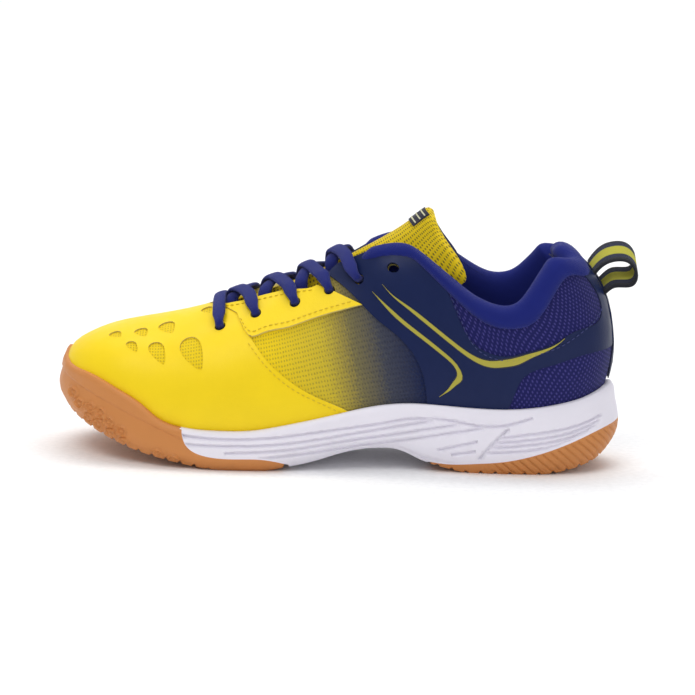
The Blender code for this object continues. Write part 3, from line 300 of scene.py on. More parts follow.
def feather_line(raise_by=0.0):
    """The lasted edge on the +q side, toe to heel, raised by some mm toward the crest."""
    start, end = FEATHER_P
    p = np.concatenate([[start, start + 3, start + 9, start + 18],
                        np.arange(start + 30, end - 26, LINE_STEP), [end - 18, end - 9, end - 3, end]])
    middle = np.abs(p - (start + end) / 2) / ((end - start) / 2)
    shift = raise_by * np.sign(p - (start + end) / 2) * np.clip(middle * 12 - 11, 0, 1)
    turn = feather_turn(p) + raise_by * np.clip((1 - middle) * 12, 0, 1)
    return np.stack([p + shift, Q_SEAM - turn], 1)


def bottom_region(raise_by=0.0):
    """Below the lasted edge, both sides, as two outlines that meet the seam line."""
    line = feather_line(raise_by)
    right = np.concatenate([line, [(line[-1, 0], Q_SEAM + 1), (line[0, 0], Q_SEAM + 1)]])
    return [right, right * (1, -1)]


def opening_region(grow=0.0):
    """The throat and the collar's mouth."""
    sides = []
    for side, rim in ((-1, RIM_LATERAL), (1, RIM_MEDIAL)):
        throat = np.array([on_crest(x, gap + grow, side) for x, gap in THROAT])
        throat[0, 0] -= grow
        mouth = locate(rim, side)
        mouth[:, 1] += side * grow
        notch = [(P_END - 6, side * (Q_SEAM - 22 + grow)), (P_END, side * (Q_SEAM - 15 + grow))]
        mouth = np.concatenate([mouth, notch])
        line = smooth_line(np.concatenate([throat, mouth]), LINE_STEP)
        back = [(P_END + 1, line[-1, 1])]
        sides.append(np.concatenate([line, back]))
    return [np.concatenate([[(THROAT_END_P - grow, 0.0)], sides[0], sides[1][::-1]])]


def ahead_of(points, grow=0.0):
    """Everything on the toe side of a line that runs from crest to seam, on both sides."""
    outline = []
    for side in (-1, 1):
        line = smooth_line(locate(points, side), LINE_STEP)
        line[:, 0] += grow
        line = np.concatenate([[(line[0, 0], 0.0)], line, [(line[-1, 0], side * (Q_SEAM + 1))]])
        outline.append(line)
    return [np.concatenate([outline[0][::-1], outline[1][1:], [(-1, Q_SEAM + 1), (-1, -Q_SEAM - 1)]])]


def below_of(points):
    """Everything under a line that runs from the sole up and back to the heel's seam."""
    found = []
    for side in (-1, 1):
        line = smooth_line(locate(points, side), LINE_STEP)
        ends = [(line[-1, 0], side * (Q_SEAM + 1)), (line[0, 0], side * (Q_SEAM + 1))]
        found.append(np.concatenate([line, ends]))
    return found


def closed_side(points, side, step=LINE_STEP):
    line = locate(points, side)
    return [smooth_line(np.concatenate([line, line[:1]]), step)[:-1]]


class Net:
    """One fine triangulation of (p, q) that carries every outline, so that stacked layers never cross."""

    def __init__(self, outlines, area, pitch=LATTICE):
        (p0, p1), half = area, Q_SEAM
        edge_p = np.append(np.arange(p0, p1, pitch), p1)
        points, edges = [], []

        def add(loop):
            start, count = len(points), len(loop)
            points.extend(Vector((float(a), float(b))) for a, b in loop)
            edges.extend((start + k, start + (k + 1) % count) for k in range(count))

        add([(p, -half) for p in edge_p] + [(p, half) for p in edge_p[::-1]])
        for loop in outlines:
            add(np.stack([np.clip(loop[:, 0], p0, p1), np.clip(loop[:, 1], -half, half)], 1))
        held = np.array([tuple(v) for v in points])
        rows = []
        for k, p in enumerate(np.arange(p0 + pitch * 0.86, p1 - 1, pitch * 0.86)):
            right = np.arange((k % 2) * pitch / 2, half - pitch * 0.4, pitch)
            rows += [(p, q) for q in right] + [(p, -q) for q in right if q > 0]
        rows = np.array(rows)
        distance = np.concatenate([np.sqrt(((part[:, None] - held[None]) ** 2).sum(2)).min(1)
                                   for part in np.array_split(rows, 12)])
        points.extend(Vector((float(a), float(b))) for a, b in rows[distance > pitch * 0.42])
        verts, _, faces, *_ = delaunay_2d_cdt(points, edges, [], 0, 0.02)
        self.pq = np.array([tuple(v) for v in verts])
        self.faces = np.array([f for f in faces if len(f) == 3])
        self.base = last_point(*self.pq.T)
        self.normal = last_normal(*self.pq.T)
        keys = {}
        self.weld = np.array([keys.setdefault(tuple(np.round(b / 0.02).astype(int)), k)
                              for k, b in enumerate(self.base)])
        self.centres = self.pq[self.faces].mean(1)

    def select(self, within, without=()):
        chosen = np.zeros(len(self.faces), bool)
        for loop in within:
            chosen |= inside(loop, self.centres)
        for loop in without:
            chosen &= ~inside(loop, self.centres)
        return chosen

    def solid(self, name, chosen, layer, materials):
        """A closed plate over the chosen triangles: first material outside, last on its cut edge."""
        kept = [(tuple(self.weld[f]), f) for f in self.faces[chosen]]
        kept = [(w, f) for w, f in kept if len(set(w)) == 3]
        used = sorted({v for w, _ in kept for v in w})
        index = {v: k for k, v in enumerate(used)}
        low, high = (value(*self.pq[used].T) if callable(value) else value for value in layer)
        base, normal = self.base[used], self.normal[used]
        inner = base + normal * np.broadcast_to(low, len(used))[:, None]
        outer = base + normal * np.broadcast_to(high, len(used))[:, None]
        count = len(used)
        faces, places, kinds, directed = [], [], [], {}
        inside_kind = 1 if len(materials) > 2 else 0
        for w, f in kept:
            a, b, c = (index[v] for v in w)
            uv = self.pq[f]
            faces += [(a + count, b + count, c + count), (c, b, a)]
            places += [uv, uv[::-1]]
            kinds += [0, inside_kind]
            for (m, n), (s, t) in zip(((a, b), (b, c), (c, a)), ((0, 1), (1, 2), (2, 0))):
                directed[(m, n)] = (uv[s], uv[t])
        for (a, b), (ua, ub) in directed.items():
            if (b, a) not in directed:
                faces.append((b + count, a + count, a, b))
                places.append(np.array([ub, ua, ua, ub]))
                kinds.append(len(materials) - 1)
        return make_object(name, np.concatenate([inner, outer]), faces, materials, kinds, places)


def make_object(name, points_mm, faces, materials, kinds=None, places=None, sharp=40):
    mesh = bpy.data.meshes.new(name)
    points = (np.asarray(points_mm, float) - ORIGIN) * MM
    mesh.from_pydata(points.tolist(), [], [tuple(int(v) for v in f) for f in faces])
    for material in materials:
        mesh.materials.append(material)
    if kinds is not None:
        mesh.polygons.foreach_set("material_index", np.array(kinds, np.int32))
    if places is not None:
        layer = mesh.uv_layers.new(name="UVMap")
        layer.data.foreach_set("uv", (np.concatenate(places) / 100.0).ravel())
    made = bpy.data.objects.new(name, mesh)
    bpy.context.scene.collection.objects.link(made)
    net = bmesh.new()
    net.from_mesh(mesh)
    bmesh.ops.recalc_face_normals(net, faces=net.faces[:])
    net.to_mesh(mesh)
    net.free()
    mesh.shade_smooth()
    mesh.set_sharp_from_angle(angle=math.radians(sharp))
    return made


def grid_tube(name, rows, materials, sharp=40):
    """Rows of equal length joined into a skin: each row closes on itself, and the ends are capped."""
    rows = np.asarray(rows, float)
    count, wide = rows.shape[:2]
    around = np.concatenate([[0], np.cumsum(np.linalg.norm(np.diff(rows[count // 2], axis=0), axis=1))])
    along = np.concatenate([[0], np.cumsum(np.linalg.norm(np.diff(rows.mean(1), axis=0), axis=1))])
    around = np.append(around, around[-1] + 2.0)
    faces, places = [], []
    for k in range(count - 1):
        for i in range(wide):
            j = (i + 1) % wide
            faces.append((k * wide + i, k * wide + j, (k + 1) * wide + j, (k + 1) * wide + i))
            places.append(np.array([(along[k], around[i]), (along[k], around[i + 1]),
                                    (along[k + 1], around[i + 1]), (along[k + 1], around[i])]))
    for base in (0, (count - 1) * wide):
        faces.append(tuple(base + i for i in range(wide)))
        places.append(np.tile((along[0], 0.0), (wide, 1)))
    made = make_object(name, rows.reshape(-1, 3), faces, materials, None, places, sharp)
    net = bmesh.new()
    net.from_mesh(made.data)
    bmesh.ops.remove_doubles(net, verts=net.verts[:], dist=0.00002)
    bmesh.ops.dissolve_degenerate(net, edges=net.edges[:], dist=0.00001)
    bmesh.ops.recalc_face_normals(net, faces=net.faces[:])
    net.to_mesh(made.data)
    net.free()
    return made


# ---- materials ----
class Shade:
    """A small builder for one material's nodes."""

    def __init__(self, name, colour, roughness=0.6, **sockets):
        self.material = bpy.data.materials.new(name)
        self.material.use_nodes = True
        self.tree = self.material.node_tree
        self.shader = self.tree.nodes["Principled BSDF"]
        self.shader.inputs["Base Color"].default_value = (*colour, 1.0)
        self.shader.inputs["Roughness"].default_value = roughness
        for key, value in sockets.items():
            self.shader.inputs[key.replace("_", " ")].default_value = value
        self.material.diffuse_color = (*colour, 1.0)

    def node(self, kind, links=(), **values):
        made = self.tree.nodes.new("ShaderNode" + kind)
        for key, value in values.items():
            if hasattr(made, key):
                setattr(made, key, value)
            else:
                made.inputs[key].default_value = value
        for socket, source in dict(links).items():
            self.tree.links.new(source, made.inputs[socket])
        return made

    def place(self, scale=(1, 1, 1), turn=0.0, kind="UV"):
        """Texture coordinates: UV in hundreds of mm along and round the last, or Object in metres."""
        source = self.node("TexCoord").outputs[kind]
        return self.node("Mapping", {"Vector": source}, Scale=scale, Rotation=(0, 0, turn)).outputs[0]

    def position(self):
        """x, y and z in metres, in the object's own frame."""
        return self.node("SeparateXYZ", {"Vector": self.node("TexCoord").outputs["Object"]}).outputs

    def maths(self, operation, a, b=0.0):
        made = self.node("Math", operation=operation)
        for socket, value in zip(made.inputs, (a, b)):
            if isinstance(value, (int, float)):
                socket.default_value = value
            else:
                self.tree.links.new(value, socket)
        return made.outputs[0]

    def mix(self, factor, a, b):
        made = self.node("Mix", data_type="RGBA")
        for socket, value in ((made.inputs[0], factor), (made.inputs[6], a), (made.inputs[7], b)):
            if isinstance(value, (tuple, list)):
                socket.default_value = (*value, 1.0)
            elif isinstance(value, (int, float)):
                socket.default_value = value
            else:
                self.tree.links.new(value, socket)
        return made.outputs[2]

    def ramp(self, factor, *stops):
        made = self.node("ValToRGB", {"Fac": factor})
        stops_at = made.color_ramp.elements
        while len(stops_at) < len(stops):
            stops_at.new(0.5)
        for stop, (at, value) in zip(stops_at, stops):
            stop.position = at
            stop.color = (*value, 1.0) if isinstance(value, (tuple, list)) else (value, value, value, 1.0)
        return made.outputs[0]

    def noise(self, vector, scale, detail=4.0):
        return self.node("TexNoise", {"Vector": vector}, Scale=scale, Detail=detail).outputs["Fac"]

    def cells(self, vector, scale, random=0.15, feature="F1"):
        return self.node("TexVoronoi", {"Vector": vector}, feature=feature, Scale=scale,
                         Randomness=random).outputs["Distance"]

    def wave(self, vector, scale, distortion=0.0, axis="X"):
        return self.node("TexWave", {"Vector": vector}, bands_direction=axis, Scale=scale,
                         Distortion=distortion).outputs["Fac"]

    def colour(self, source):
        self.tree.links.new(source, self.shader.inputs["Base Color"])
        return self

    def rough(self, source):
        self.tree.links.new(source, self.shader.inputs["Roughness"])
        return self

    def bump(self, source, distance=0.0003, strength=1.0):
        made = self.node("Bump", {"Height": source}, Distance=distance, Strength=strength)
        self.tree.links.new(made.outputs[0], self.shader.inputs["Normal"])
        return self


PER_MM = (100, 100, 1)    # texture scale for one unit to each mm of (p, q)


def shaded(colour, k):
    return tuple(c * k for c in colour)


YELLOW = (0.92, 0.66, 0.008)
LIME = (0.86, 0.80, 0.05)
NAVY = (0.004, 0.012, 0.066)
BLUE = (0.012, 0.022, 0.235)
HEEL_BLUE = (0.009, 0.010, 0.105)
CREAM = (0.74, 0.60, 0.16)
OLIVE = (0.42, 0.37, 0.05)
GUM = (0.60, 0.235, 0.065)
WHITE = (0.83, 0.80, 0.88)


def film(name, colour, roughness, coat=0.15, grain=0.00008):
    """Smooth synthetic upper film: a fine pebble, slow colour drift, uneven gloss."""
    s = Shade(name, colour, roughness, Coat_Weight=coat, Coat_Roughness=0.35, Specular_IOR_Level=0.15)
    at = s.place((100, 100, 100))
    drift = s.noise(s.place((4, 4, 4)), 1.0)
    s.colour(s.mix(drift, shaded(colour, 0.93), shaded(colour, 1.05)))
    s.rough(s.ramp(s.noise(at, 0.12), (0.3, roughness * 0.85), (0.7, min(1.0, roughness * 1.15))))
    return s.bump(s.maths("ADD", s.cells(at, 1.4, 1.0), s.noise(at, 0.6)), grain, 0.5).material


def mesh_cloth(name, tint, hole, pitch=2.1, depth=0.0005, gradient=None):
    """Knitted spacer mesh: staggered round holes between ribs of yarn; tint may be a built colour."""
    s = Shade(name, tint, 0.8, Sheen_Weight=0.06, Sheen_Roughness=0.5, Specular_IOR_Level=0.2)
    at = s.place((100 / pitch, 100 / pitch * 0.8, 1), 0.0)
    cell = s.cells(at, 1.0, 0.12)
    open_ = s.ramp(cell, (0.16, 1.0), (0.34, 0.0))
    yarn = s.wave(s.place(PER_MM, 0.7), 1.1)
    if gradient:
        x, _, z = s.position()
        along = s.maths("ADD", s.maths("MULTIPLY", x, 1000.0 / gradient[1]), -gradient[0] / gradient[1])
        along = s.maths("ADD", along, s.maths("MULTIPLY", z, 1000.0 * 0.22 / gradient[1]))
        dots = s.maths("MULTIPLY", s.maths("SUBTRACT", s.noise(s.place(PER_MM), 0.9), 0.5), 0.16)
        along = s.maths("ADD", along, dots)
        base = s.ramp(along, *gradient[2])
        dark = s.mix(0.45, base, (0.02, 0.02, 0.04))
        ribs = s.mix(s.maths("MULTIPLY", yarn, 0.15), base, dark)
        # Painted shade in the holes: they go most of the way to a darkened copy of the colour.
        s.colour(s.mix(s.maths("MULTIPLY", open_, 0.75), ribs, dark))
    else:
        # Holes take the hole colour: the tongue's dark one is painted shade in its holes, the heel mesh's
        # lighter one its own light specks.
        s.colour(s.mix(open_, s.mix(yarn, tint, shaded(tint, 0.82)), hole))
    height = s.maths("ADD", s.maths("MULTIPLY", open_, -1.0), s.maths("MULTIPLY", yarn, 0.25))
    return s.bump(height, depth, 0.8).material


def knit(name, colour, scale=1.0, sheen=0.12, highlight_colour=None):
    """Close textile: crossing yarns about a millimetre apart, with sheen and a painted highlight where the
    yarns cross.
    """
    s = Shade(name, colour, 0.9, Sheen_Weight=sheen, Sheen_Roughness=0.4, Specular_IOR_Level=0.2)
    one = s.wave(s.place(PER_MM, 0.78), 0.9 * scale, 1.0)
    two = s.wave(s.place(PER_MM, -0.78), 0.9 * scale, 1.0)
    both = s.maths("MULTIPLY", one, two)
    # Painted highlight: the colour is lighter where the yarns cross, on the highest part of the bump.
    light = highlight_colour or shaded(colour, 1.7)
    s.colour(s.mix(s.maths("MULTIPLY", both, 0.5), colour, light))
    return s.bump(s.maths("ADD", both, s.noise(s.place(PER_MM), 3.0)), 0.00025, 0.7).material


def braid(name, colour):
    """Tubular lace braid: two slanting sets of strands, seen as a herringbone, with painted shade in the
    grooves and a painted highlight on the strands' crests.
    """
    s = Shade(name, colour, 0.75, Sheen_Weight=0.15, Sheen_Roughness=0.35, Specular_IOR_Level=0.2)
    one = s.wave(s.place(PER_MM, 0.6), 1.0)
    two = s.wave(s.place(PER_MM, -0.6), 1.0)
    both = s.maths("MAXIMUM", one, two)
    # Painted light and shade: the colour goes dark in the grooves between strands and light on their raised
    # crests, following the bump.
    s.colour(s.mix(both, shaded(colour, 0.45), shaded(colour, 1.25)))
    return s.bump(both, 0.0004, 0.9).material


def moulded(name, colour, roughness, grain=0.00012, shade_colour=None):
    """Moulded foam or rubber: a matt skin, faint flow marks, and painted shade in patches low down, near the
    floor.
    """
    s = Shade(name, colour, roughness, Specular_IOR_Level=0.35)
    at = s.place((1000,) * 3, kind="Object")
    cloud = s.noise(s.place((30, 30, 30), kind="Object"), 1.0)
    low = s.position()[2]
    # Painted shade near the floor: noise patches in the lowest 6 mm darken toward a colour 0.6 times as
    # bright.
    low_shade_patches = s.ramp(s.noise(at, 0.25), (0.45, 0.0), (0.7, 1.0))
    low_shade = s.maths("MULTIPLY", s.ramp(low, (0.0, 1.0), (0.006, 0.0)), low_shade_patches)
    tone = s.mix(cloud, shaded(colour, 0.94), shaded(colour, 1.04))
    s.colour(s.mix(s.maths("MULTIPLY", low_shade, 0.35), tone, shade_colour or shaded(colour, 0.6)))
    s.rough(s.ramp(s.noise(at, 0.4), (0.3, roughness * 0.9), (0.8, min(1.0, roughness * 1.1))))
    return s.bump(s.maths("ADD", s.noise(at, 0.9), s.noise(at, 2.5)), grain, 0.4).material


def plain(name, colour, roughness=0.6, grain=0.0001):
    s = Shade(name, colour, roughness)
    at = s.place((1000,) * 3, kind="Object")
    s.colour(s.mix(s.noise(at, 0.3), shaded(colour, 0.88), shaded(colour, 1.08)))
    return s.bump(s.noise(at, 1.5), grain, 0.5).material


# The front mesh's fade: x where it starts, its length in mm, and the colours along it.
GRADIENT = (-22.0, 84.0, ((0.0, YELLOW), (0.30, (0.66, 0.50, 0.03)), (0.50, (0.20, 0.17, 0.07)),
                          (0.68, (0.055, 0.060, 0.085)), (0.90, NAVY)))
M = {
    "vamp_film": film("vamp_film", YELLOW, 0.48),
    "eyestay": film("eyestay", YELLOW, 0.45),
    "quarter_film": film("quarter_film", NAVY, 0.40, 0.10),
    "heel_stay": film("heel_stay_film", shaded(NAVY, 0.8), 0.42, 0.08),
    "cut_edge": plain("cut_edge", CREAM, 0.7),
    "navy_edge": plain("navy_edge", shaded(NAVY, 0.7), 0.7),
    "vamp_mesh": mesh_cloth("vamp_mesh", YELLOW, shaded(YELLOW, 0.55), 1.45, 0.0003, GRADIENT),
    "quarter_mesh": mesh_cloth("quarter_mesh", HEEL_BLUE, (0.055, 0.050, 0.24), 1.5, 0.0003),
    "collar": knit("collar_knit", shaded(BLUE, 0.75)),
    "lining": knit("lining_knit", shaded(BLUE, 0.35)),
    "vamp_lining": knit("vamp_lining_knit", (0.45, 0.38, 0.12)),
    # The tongue mesh's dark hole colour is painted shade in its holes.
    "tongue_mesh": mesh_cloth("tongue_mesh", YELLOW, (0.22, 0.16, 0.02), 2.1, 0.0004),
    "tongue_edge": knit("tongue_edge", (0.85, 0.70, 0.04)),
    "lace": braid("lace_braid", BLUE),
    "thread_yellow": plain("thread_yellow", shaded(YELLOW, 0.8), 0.6),
    "thread_navy": plain("thread_navy", (0.03, 0.04, 0.16), 0.6),
    "olive": film("stripe_olive", OLIVE, 0.4, 0.3),
    # Painted shadow: a near-black band laid just under each raised stripe.
    "painted_shadow": plain("painted_stripe_shadow", (0.02, 0.02, 0.03), 0.5),
    "label": knit("label_weave", (0.03, 0.03, 0.05), 2.0, 0.2),
    "label_line": knit("label_line", (0.70, 0.68, 0.45), 2.0, 0.2),
    "midsole": moulded("midsole_foam", WHITE, 0.55),
    "gum": moulded("gum_rubber", GUM, 0.5, 0.00015),
    "sockliner": knit("sockliner_cloth", (0.02, 0.03, 0.12)),
    "aglet": plain("aglet_plastic", (0.02, 0.03, 0.10), 0.25, 0.00002),
    "hidden": plain("inner_board", (0.55, 0.52, 0.45), 0.8),
}


def finish_piece(piece, body, slot, *replaced):
    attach(piece, body)
    if replaced:
        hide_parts(*replaced)
    return piece


# ---- the upper's panels ----


def drop(centre, size, lean, sides=26):
    """A teardrop window about (p, q): rounded end up and to the toe, point down and back."""
    turns = np.arange(sides) * 2 * math.pi / sides
    long, wide = size[1] / 2, size[0] / 2
    u = np.cos(turns) * long
    v = np.sin(turns) * wide * (1 - 0.45 * np.cos(turns)) * 0.95
    side = -1 if centre[1] < 0 else 1
    direction = np.array([math.sin(lean), side * math.cos(lean)])
    across = np.array([direction[1], -direction[0]])
    return np.array(centre) + u[:, None] * direction + v[:, None] * across


WINDOWS = [((42.4, 22.2), (6.5, 8.5), 0.6), ((56.3, 22), (7, 8.5), 0.5), ((69.9, 19.8), (8.5, 11), 0.5),
           ((65.6, 37), (8, 14.5), 0.45), ((84.1, 39.2), (10.5, 20), 0.45), ((52, 34), (5.5, 9), 0.5),
           ((90.5, 10.5), (6, 8), 0.4)]
HOLE_RADIUS = 2.9
windows = [drop((p, side * q), size, lean) for side in (-1, 1) for (p, q), size, lean in WINDOWS]

OPENING = opening_region()
LINING_OPENING = opening_region(1.2)
BOTTOM = bottom_region()
FILM_SPLIT = [(-10.5, 103), (-8.5, 99), (-2, 95), (11, 85), (19, 78), (30, 70), (39, 60), (44, 48),
              (46, 34), (46, 18)]
EYESTAY_EDGE = [(-53.5, 76.5), (-50, 71), (-45.5, 67), (-40, 68.8), (-28, 72), (-18, 75.6), (-3, 80.6),
                (11, 85)]
MESH_TOP = [(47, 108), (58, 99), (66, 93), (75, 89), (84, 87), (90, 88.5), (94, 93), (98, 100),
            (103, 108), (109, 113)]
MESH_BACK = [(52, 98.5), (58, 86), (66, 70.5), (76, 63.5), (92, 63), (108, 68), (122, 76), (134, 88)]
HEEL_LOW = [(84.0, 30.0), (92.0, 46.0), (104.0, 56.0), (122.0, 62.0), (142.6, 66.0)]


def stay_region(side):
    """The yellow eyestay: from the throat's edge out to its stitched lower edge."""
    top = np.array([on_crest(x, gap, side) for x, gap in THROAT[1:]])
    low = locate(EYESTAY_EDGE[::-1], side)
    return [np.concatenate([smooth_line(top, LINE_STEP), smooth_line(low, LINE_STEP)])]


front = ahead_of(FILM_SPLIT)
seam = ahead_of([(-54.0, 78.0), (-50.0, 71.0), (-45.5, 66.0), (-39.0, 58.0), (-30.0, 50.0), (-18.0, 42.0),
                 (-5.0, 36.0),
                 (6.0, 31.0), (14.0, 24.0), (18.0, 18.0)])
stays = {side: stay_region(side) for side in (-1, 1)}
bands = {side: closed_side(MESH_TOP + MESH_BACK[::-1], side) for side in (-1, 1)}
heel_low = below_of(HEEL_LOW)
STAY_P = heel_p(47.0)
heel_stay = [np.array([(STAY_P, side * (Q_SEAM - 8)), (P_END + 1, side * (Q_SEAM - 6)),
                       (P_END + 1, side * (Q_SEAM + 1)), (STAY_P, side * (Q_SEAM + 1))]) for side in (-1, 1)]
holes = [circle_at(centre, HOLE_RADIUS) for side in (-1, 1) for centre in locate(EYELETS, side)]
upper = Net(OPENING + LINING_OPENING + BOTTOM + front + seam + stays[-1] + stays[1] + bands[-1] + bands[1]
            + heel_low + heel_stay + holes + windows, (0.0, P_END))
everywhere = np.array([(-1, -200), (P_END + 1, -200), (P_END + 1, 200), (-1, 200)], float)
whole = upper.select([everywhere], OPENING + BOTTOM + holes)
in_front, in_seam = upper.select(front), upper.select(seam)
in_stay = {side: upper.select(stays[side]) for side in (-1, 1)}
in_band = upper.select(bands[-1] + bands[1])
in_low = upper.select(heel_low)
in_window = upper.select(windows)
in_back = upper.select(heel_stay)
under_roll = upper.centres[:, 0] < P_END - 4.5


def panel(name, chosen, layer, materials, node):
    """A layer of the upper, from and to a stand, in place of the CAD node of its material slot."""
    return finish_piece(upper.solid(name, chosen, layer, [M[m] for m in materials]), "shoe", node, node)


def lining_stand(depth):
    """The collar lining's depth, which comes up to the vamp lining's toward the toe."""
    return lambda p, q: depth + 4.0 * np.clip((226 - p) / 16, 0, 1)


in_stays = in_stay[-1] | in_stay[1]
panel("upper_mesh_front", whole & in_front & ~in_stays, (-1.0, 0.0), ("vamp_mesh",), "vamp_mesh")
panel("vamp_shell", whole & in_seam & ~in_window & ~in_stays, (0.2, 0.8),
      ("vamp_film", "vamp_film", "cut_edge"), "vamp_film")
for side, word in SIDES:
    panel("eyestay_panel_" + word, whole & in_stay[side], (-1.0, 1.7),
          ("eyestay", "eyestay", "cut_edge"), "eyestay_" + word)
    quarter = whole & under_roll & (upper.centres[:, 1] * side > 0)
    quarter &= ~(in_front | in_stay[side] | in_band | in_low)
    panel("quarter_panel_" + word, quarter, (-1.0, 0.9),
          ("quarter_film", "quarter_film", "navy_edge"), "quarter_film_" + word)
panel("heel_mesh", whole & under_roll & (in_band | in_low), (-1.0, 0.3), ("quarter_mesh",), "quarter_mesh")
panel("heel_strip", whole & in_back & under_roll, (0.95, 1.6),
      ("heel_stay", "heel_stay", "navy_edge"), "heel_stay")
VAMP_LINING_END_P, COLLAR_LINING_START_P = 222, 205
lined = upper.select([everywhere], LINING_OPENING + BOTTOM + holes)
panel("vamp_inside", lined & (upper.centres[:, 0] < VAMP_LINING_END_P), (-3.5, -2.7),
      ("vamp_lining",), "vamp_lining")
panel("collar_inside", lined & (upper.centres[:, 0] > COLLAR_LINING_START_P),
      (lining_stand(-7.9), lining_stand(-7.0)), ("lining",), "collar_lining")


# ---- the padded collar roll ----
def offset_line(line, distance):
    """A (p, q) line moved sideways by mm, to the left of its run."""
    ahead = unit(np.gradient(line, axis=0))
    return line + np.stack([-ahead[:, 1], ahead[:, 0]], 1) * distance


def rim_line():
    """The collar's rim from the lateral throat round the heel to the medial throat."""
    sides = []
    for side, rim in ((-1, RIM_LATERAL), (1, RIM_MEDIAL)):
        mouth = locate(rim[1:], side)
        heel_end = [(P_END - 6, side * (Q_SEAM - 22)), (P_END - 1.5, side * (Q_SEAM - 12))]
        sides.append(np.concatenate([mouth, heel_end]))
    right = sides[1][::-1].copy()
    right[:, 1] -= 2 * Q_SEAM
    joined = np.concatenate([sides[0], [(P_END - 0.8, -Q_SEAM)], right])
    return smooth_line(joined, 2.5)


RIM = rim_line()
# The roll's section: mm beside the rim, toward the outside, and stand.
ROLL = [(5.6, 0.5), (5.2, 1.6), (3.9, 2.5), (2.1, 2.8), (0.2, 2.2), (-1.5, 0.2), (-2.2, -2.8),
        (-1.8, -5.4), (0.2, -7.6), (3.5, -9), (8, -9.6), (13, -9.4), (18, -8.6), (18, -7.6), (12, -7),
        (5, -4), (4, -1.6), (5.5, -0.4)]


def collar_rows():
    closed = np.array(ROLL + ROLL[:1], float)
    profile = smooth_line(closed, 1.4)[:-1]
    steps = len(RIM)
    rows = []
    fade = np.clip(np.minimum(np.arange(steps), np.arange(steps)[::-1]) / 7.0, 0.05, 1)
    points = [skin(*offset_line(RIM, -d).T, s) for d, s in profile]
    points = np.stack(points, 1)
    middle = skin(*offset_line(RIM, -4.0).T, -2.6)
    return middle[:, None] + (points - middle[:, None]) * np.sqrt(fade)[:, None, None]


collar = grid_tube("collar_roll", collar_rows(), [M["collar"]], sharp=60)
finish_piece(collar, "shoe", "collar_lining", "collar_foam")

# ---- the tongue ----
TONGUE_SIDE = [(-64, 68), (-45, 66), (-20, 76), (8, 88), (34, 95), (55, 96), (62, 101), (60, 107),
               (50, 121), (44, 130)]
TONGUE_TOP_P = on_crest(43.0, 0.0, 1)[0]
TONGUE_BASE_P = on_crest(-68.0, 0.0, 1)[0]


def tongue_stand(p, q):
    """The tongue's outer face: proud in the throat, tucked in under the sides."""
    side = np.clip((np.abs(q) - 3.0) / (8.0 + 12.0 * np.clip((p - 196.0) / 20.0, 0, 1)), 0, 1)
    along = np.clip((p - 150.0) / 26.0, 0, 1)
    base = np.clip((p - TONGUE_BASE_P) / 26.0, 0, 1)
    centre = -6.6 + 3.8 * ease(base)
    return centre + ease(side) * ((-6.6 - 3.4 * along) - centre)


tongue_sides = [smooth_line(locate(TONGUE_SIDE, side), LINE_STEP) for side in (-1, 1)]
tongue_edge = np.concatenate([[(TONGUE_BASE_P, 0.0)], tongue_sides[0], [(TONGUE_TOP_P, 0.0)],
                              tongue_sides[1][::-1]])


def distance_to(line, x, y):
    """The distance from each place (x, y) to an open line of points."""
    points = np.stack([x.ravel(), y.ravel()], 1)
    best = np.full(len(points), 1e9)
    for a, b in zip(line[:-1], line[1:]):
        run = b - a
        t = np.clip(((points - a) @ run) / max(run @ run, 1e-9), 0, 1)
        best = np.minimum(best, np.linalg.norm(points - (a + t[:, None] * run), axis=1))
    return best.reshape(x.shape)


def tongue_half(p, q):
    d = np.clip(distance_to(np.concatenate([tongue_edge, tongue_edge[:1]]), p, q) / 5.0, 0, 1)
    return 0.35 + 2.6 * np.sqrt(np.clip(1 - (1 - d) ** 2, 0, 1))


tongue = Net([tongue_edge], (TONGUE_BASE_P - 4, TONGUE_TOP_P + 3), 3.2)
outer_face = (lambda p, q: tongue_stand(p, q) - 2.95 + tongue_half(p, q))
inner_face = (lambda p, q: tongue_stand(p, q) - 2.95 - tongue_half(p, q))
pad = tongue.solid("tongue_pad", tongue.select([tongue_edge]), (inner_face, outer_face),
                   [M["tongue_mesh"], M["lining"], M["tongue_edge"]])
finish_piece(pad, "tongue", "tongue_shell", "tongue_shell", "tongue_foam", "tongue_lining")


def patch(name, p_span, q_span, layer, material, *replaced, count=(14, 12)):
    """A small closed plate on the tongue."""
    ps, qs = np.linspace(*p_span, count[0]), np.linspace(*q_span, count[1])
    rows = []
    for p in ps:
        place = np.full(len(qs), p)
        low, top = (skin(place, qs, tongue_stand(place, qs) + stand) for stand in layer)
        rows.append(np.concatenate([top, low[::-1]]))
    return finish_piece(grid_tube(name, rows, [material]), "tongue", "tongue_label", *replaced)


LABEL_P = (TONGUE_TOP_P - 29, TONGUE_TOP_P - 7)
patch("tongue_badge", LABEL_P, (-9.5, 9.5), (-0.1, 0.7), M["label"], "tongue_label")
for k, start in enumerate((3.5, 10.0, 16.5)):
    bar = (LABEL_P[0] + start, LABEL_P[0] + start + 1.6)
    patch(f"tongue_badge_line_{k}", bar, (-9.0, 9.0), (0.5, 0.95), M["label_line"], count=(6, 12))

# ---- the lace ----
LACED = 5                 # pairs of eyelets in use, from the toe
OVER, UNDER = 3.5, -5.0   # stand of the lace's middle over and under the eyestays


def throat_edge(p):
    """|q| of the throat's edge at p."""
    line = OPENING[0][1:160]
    line = line[:int(np.argmax(line[:, 0] > 215))]
    return float(np.interp(p, line[:, 0], np.abs(line[:, 1])))


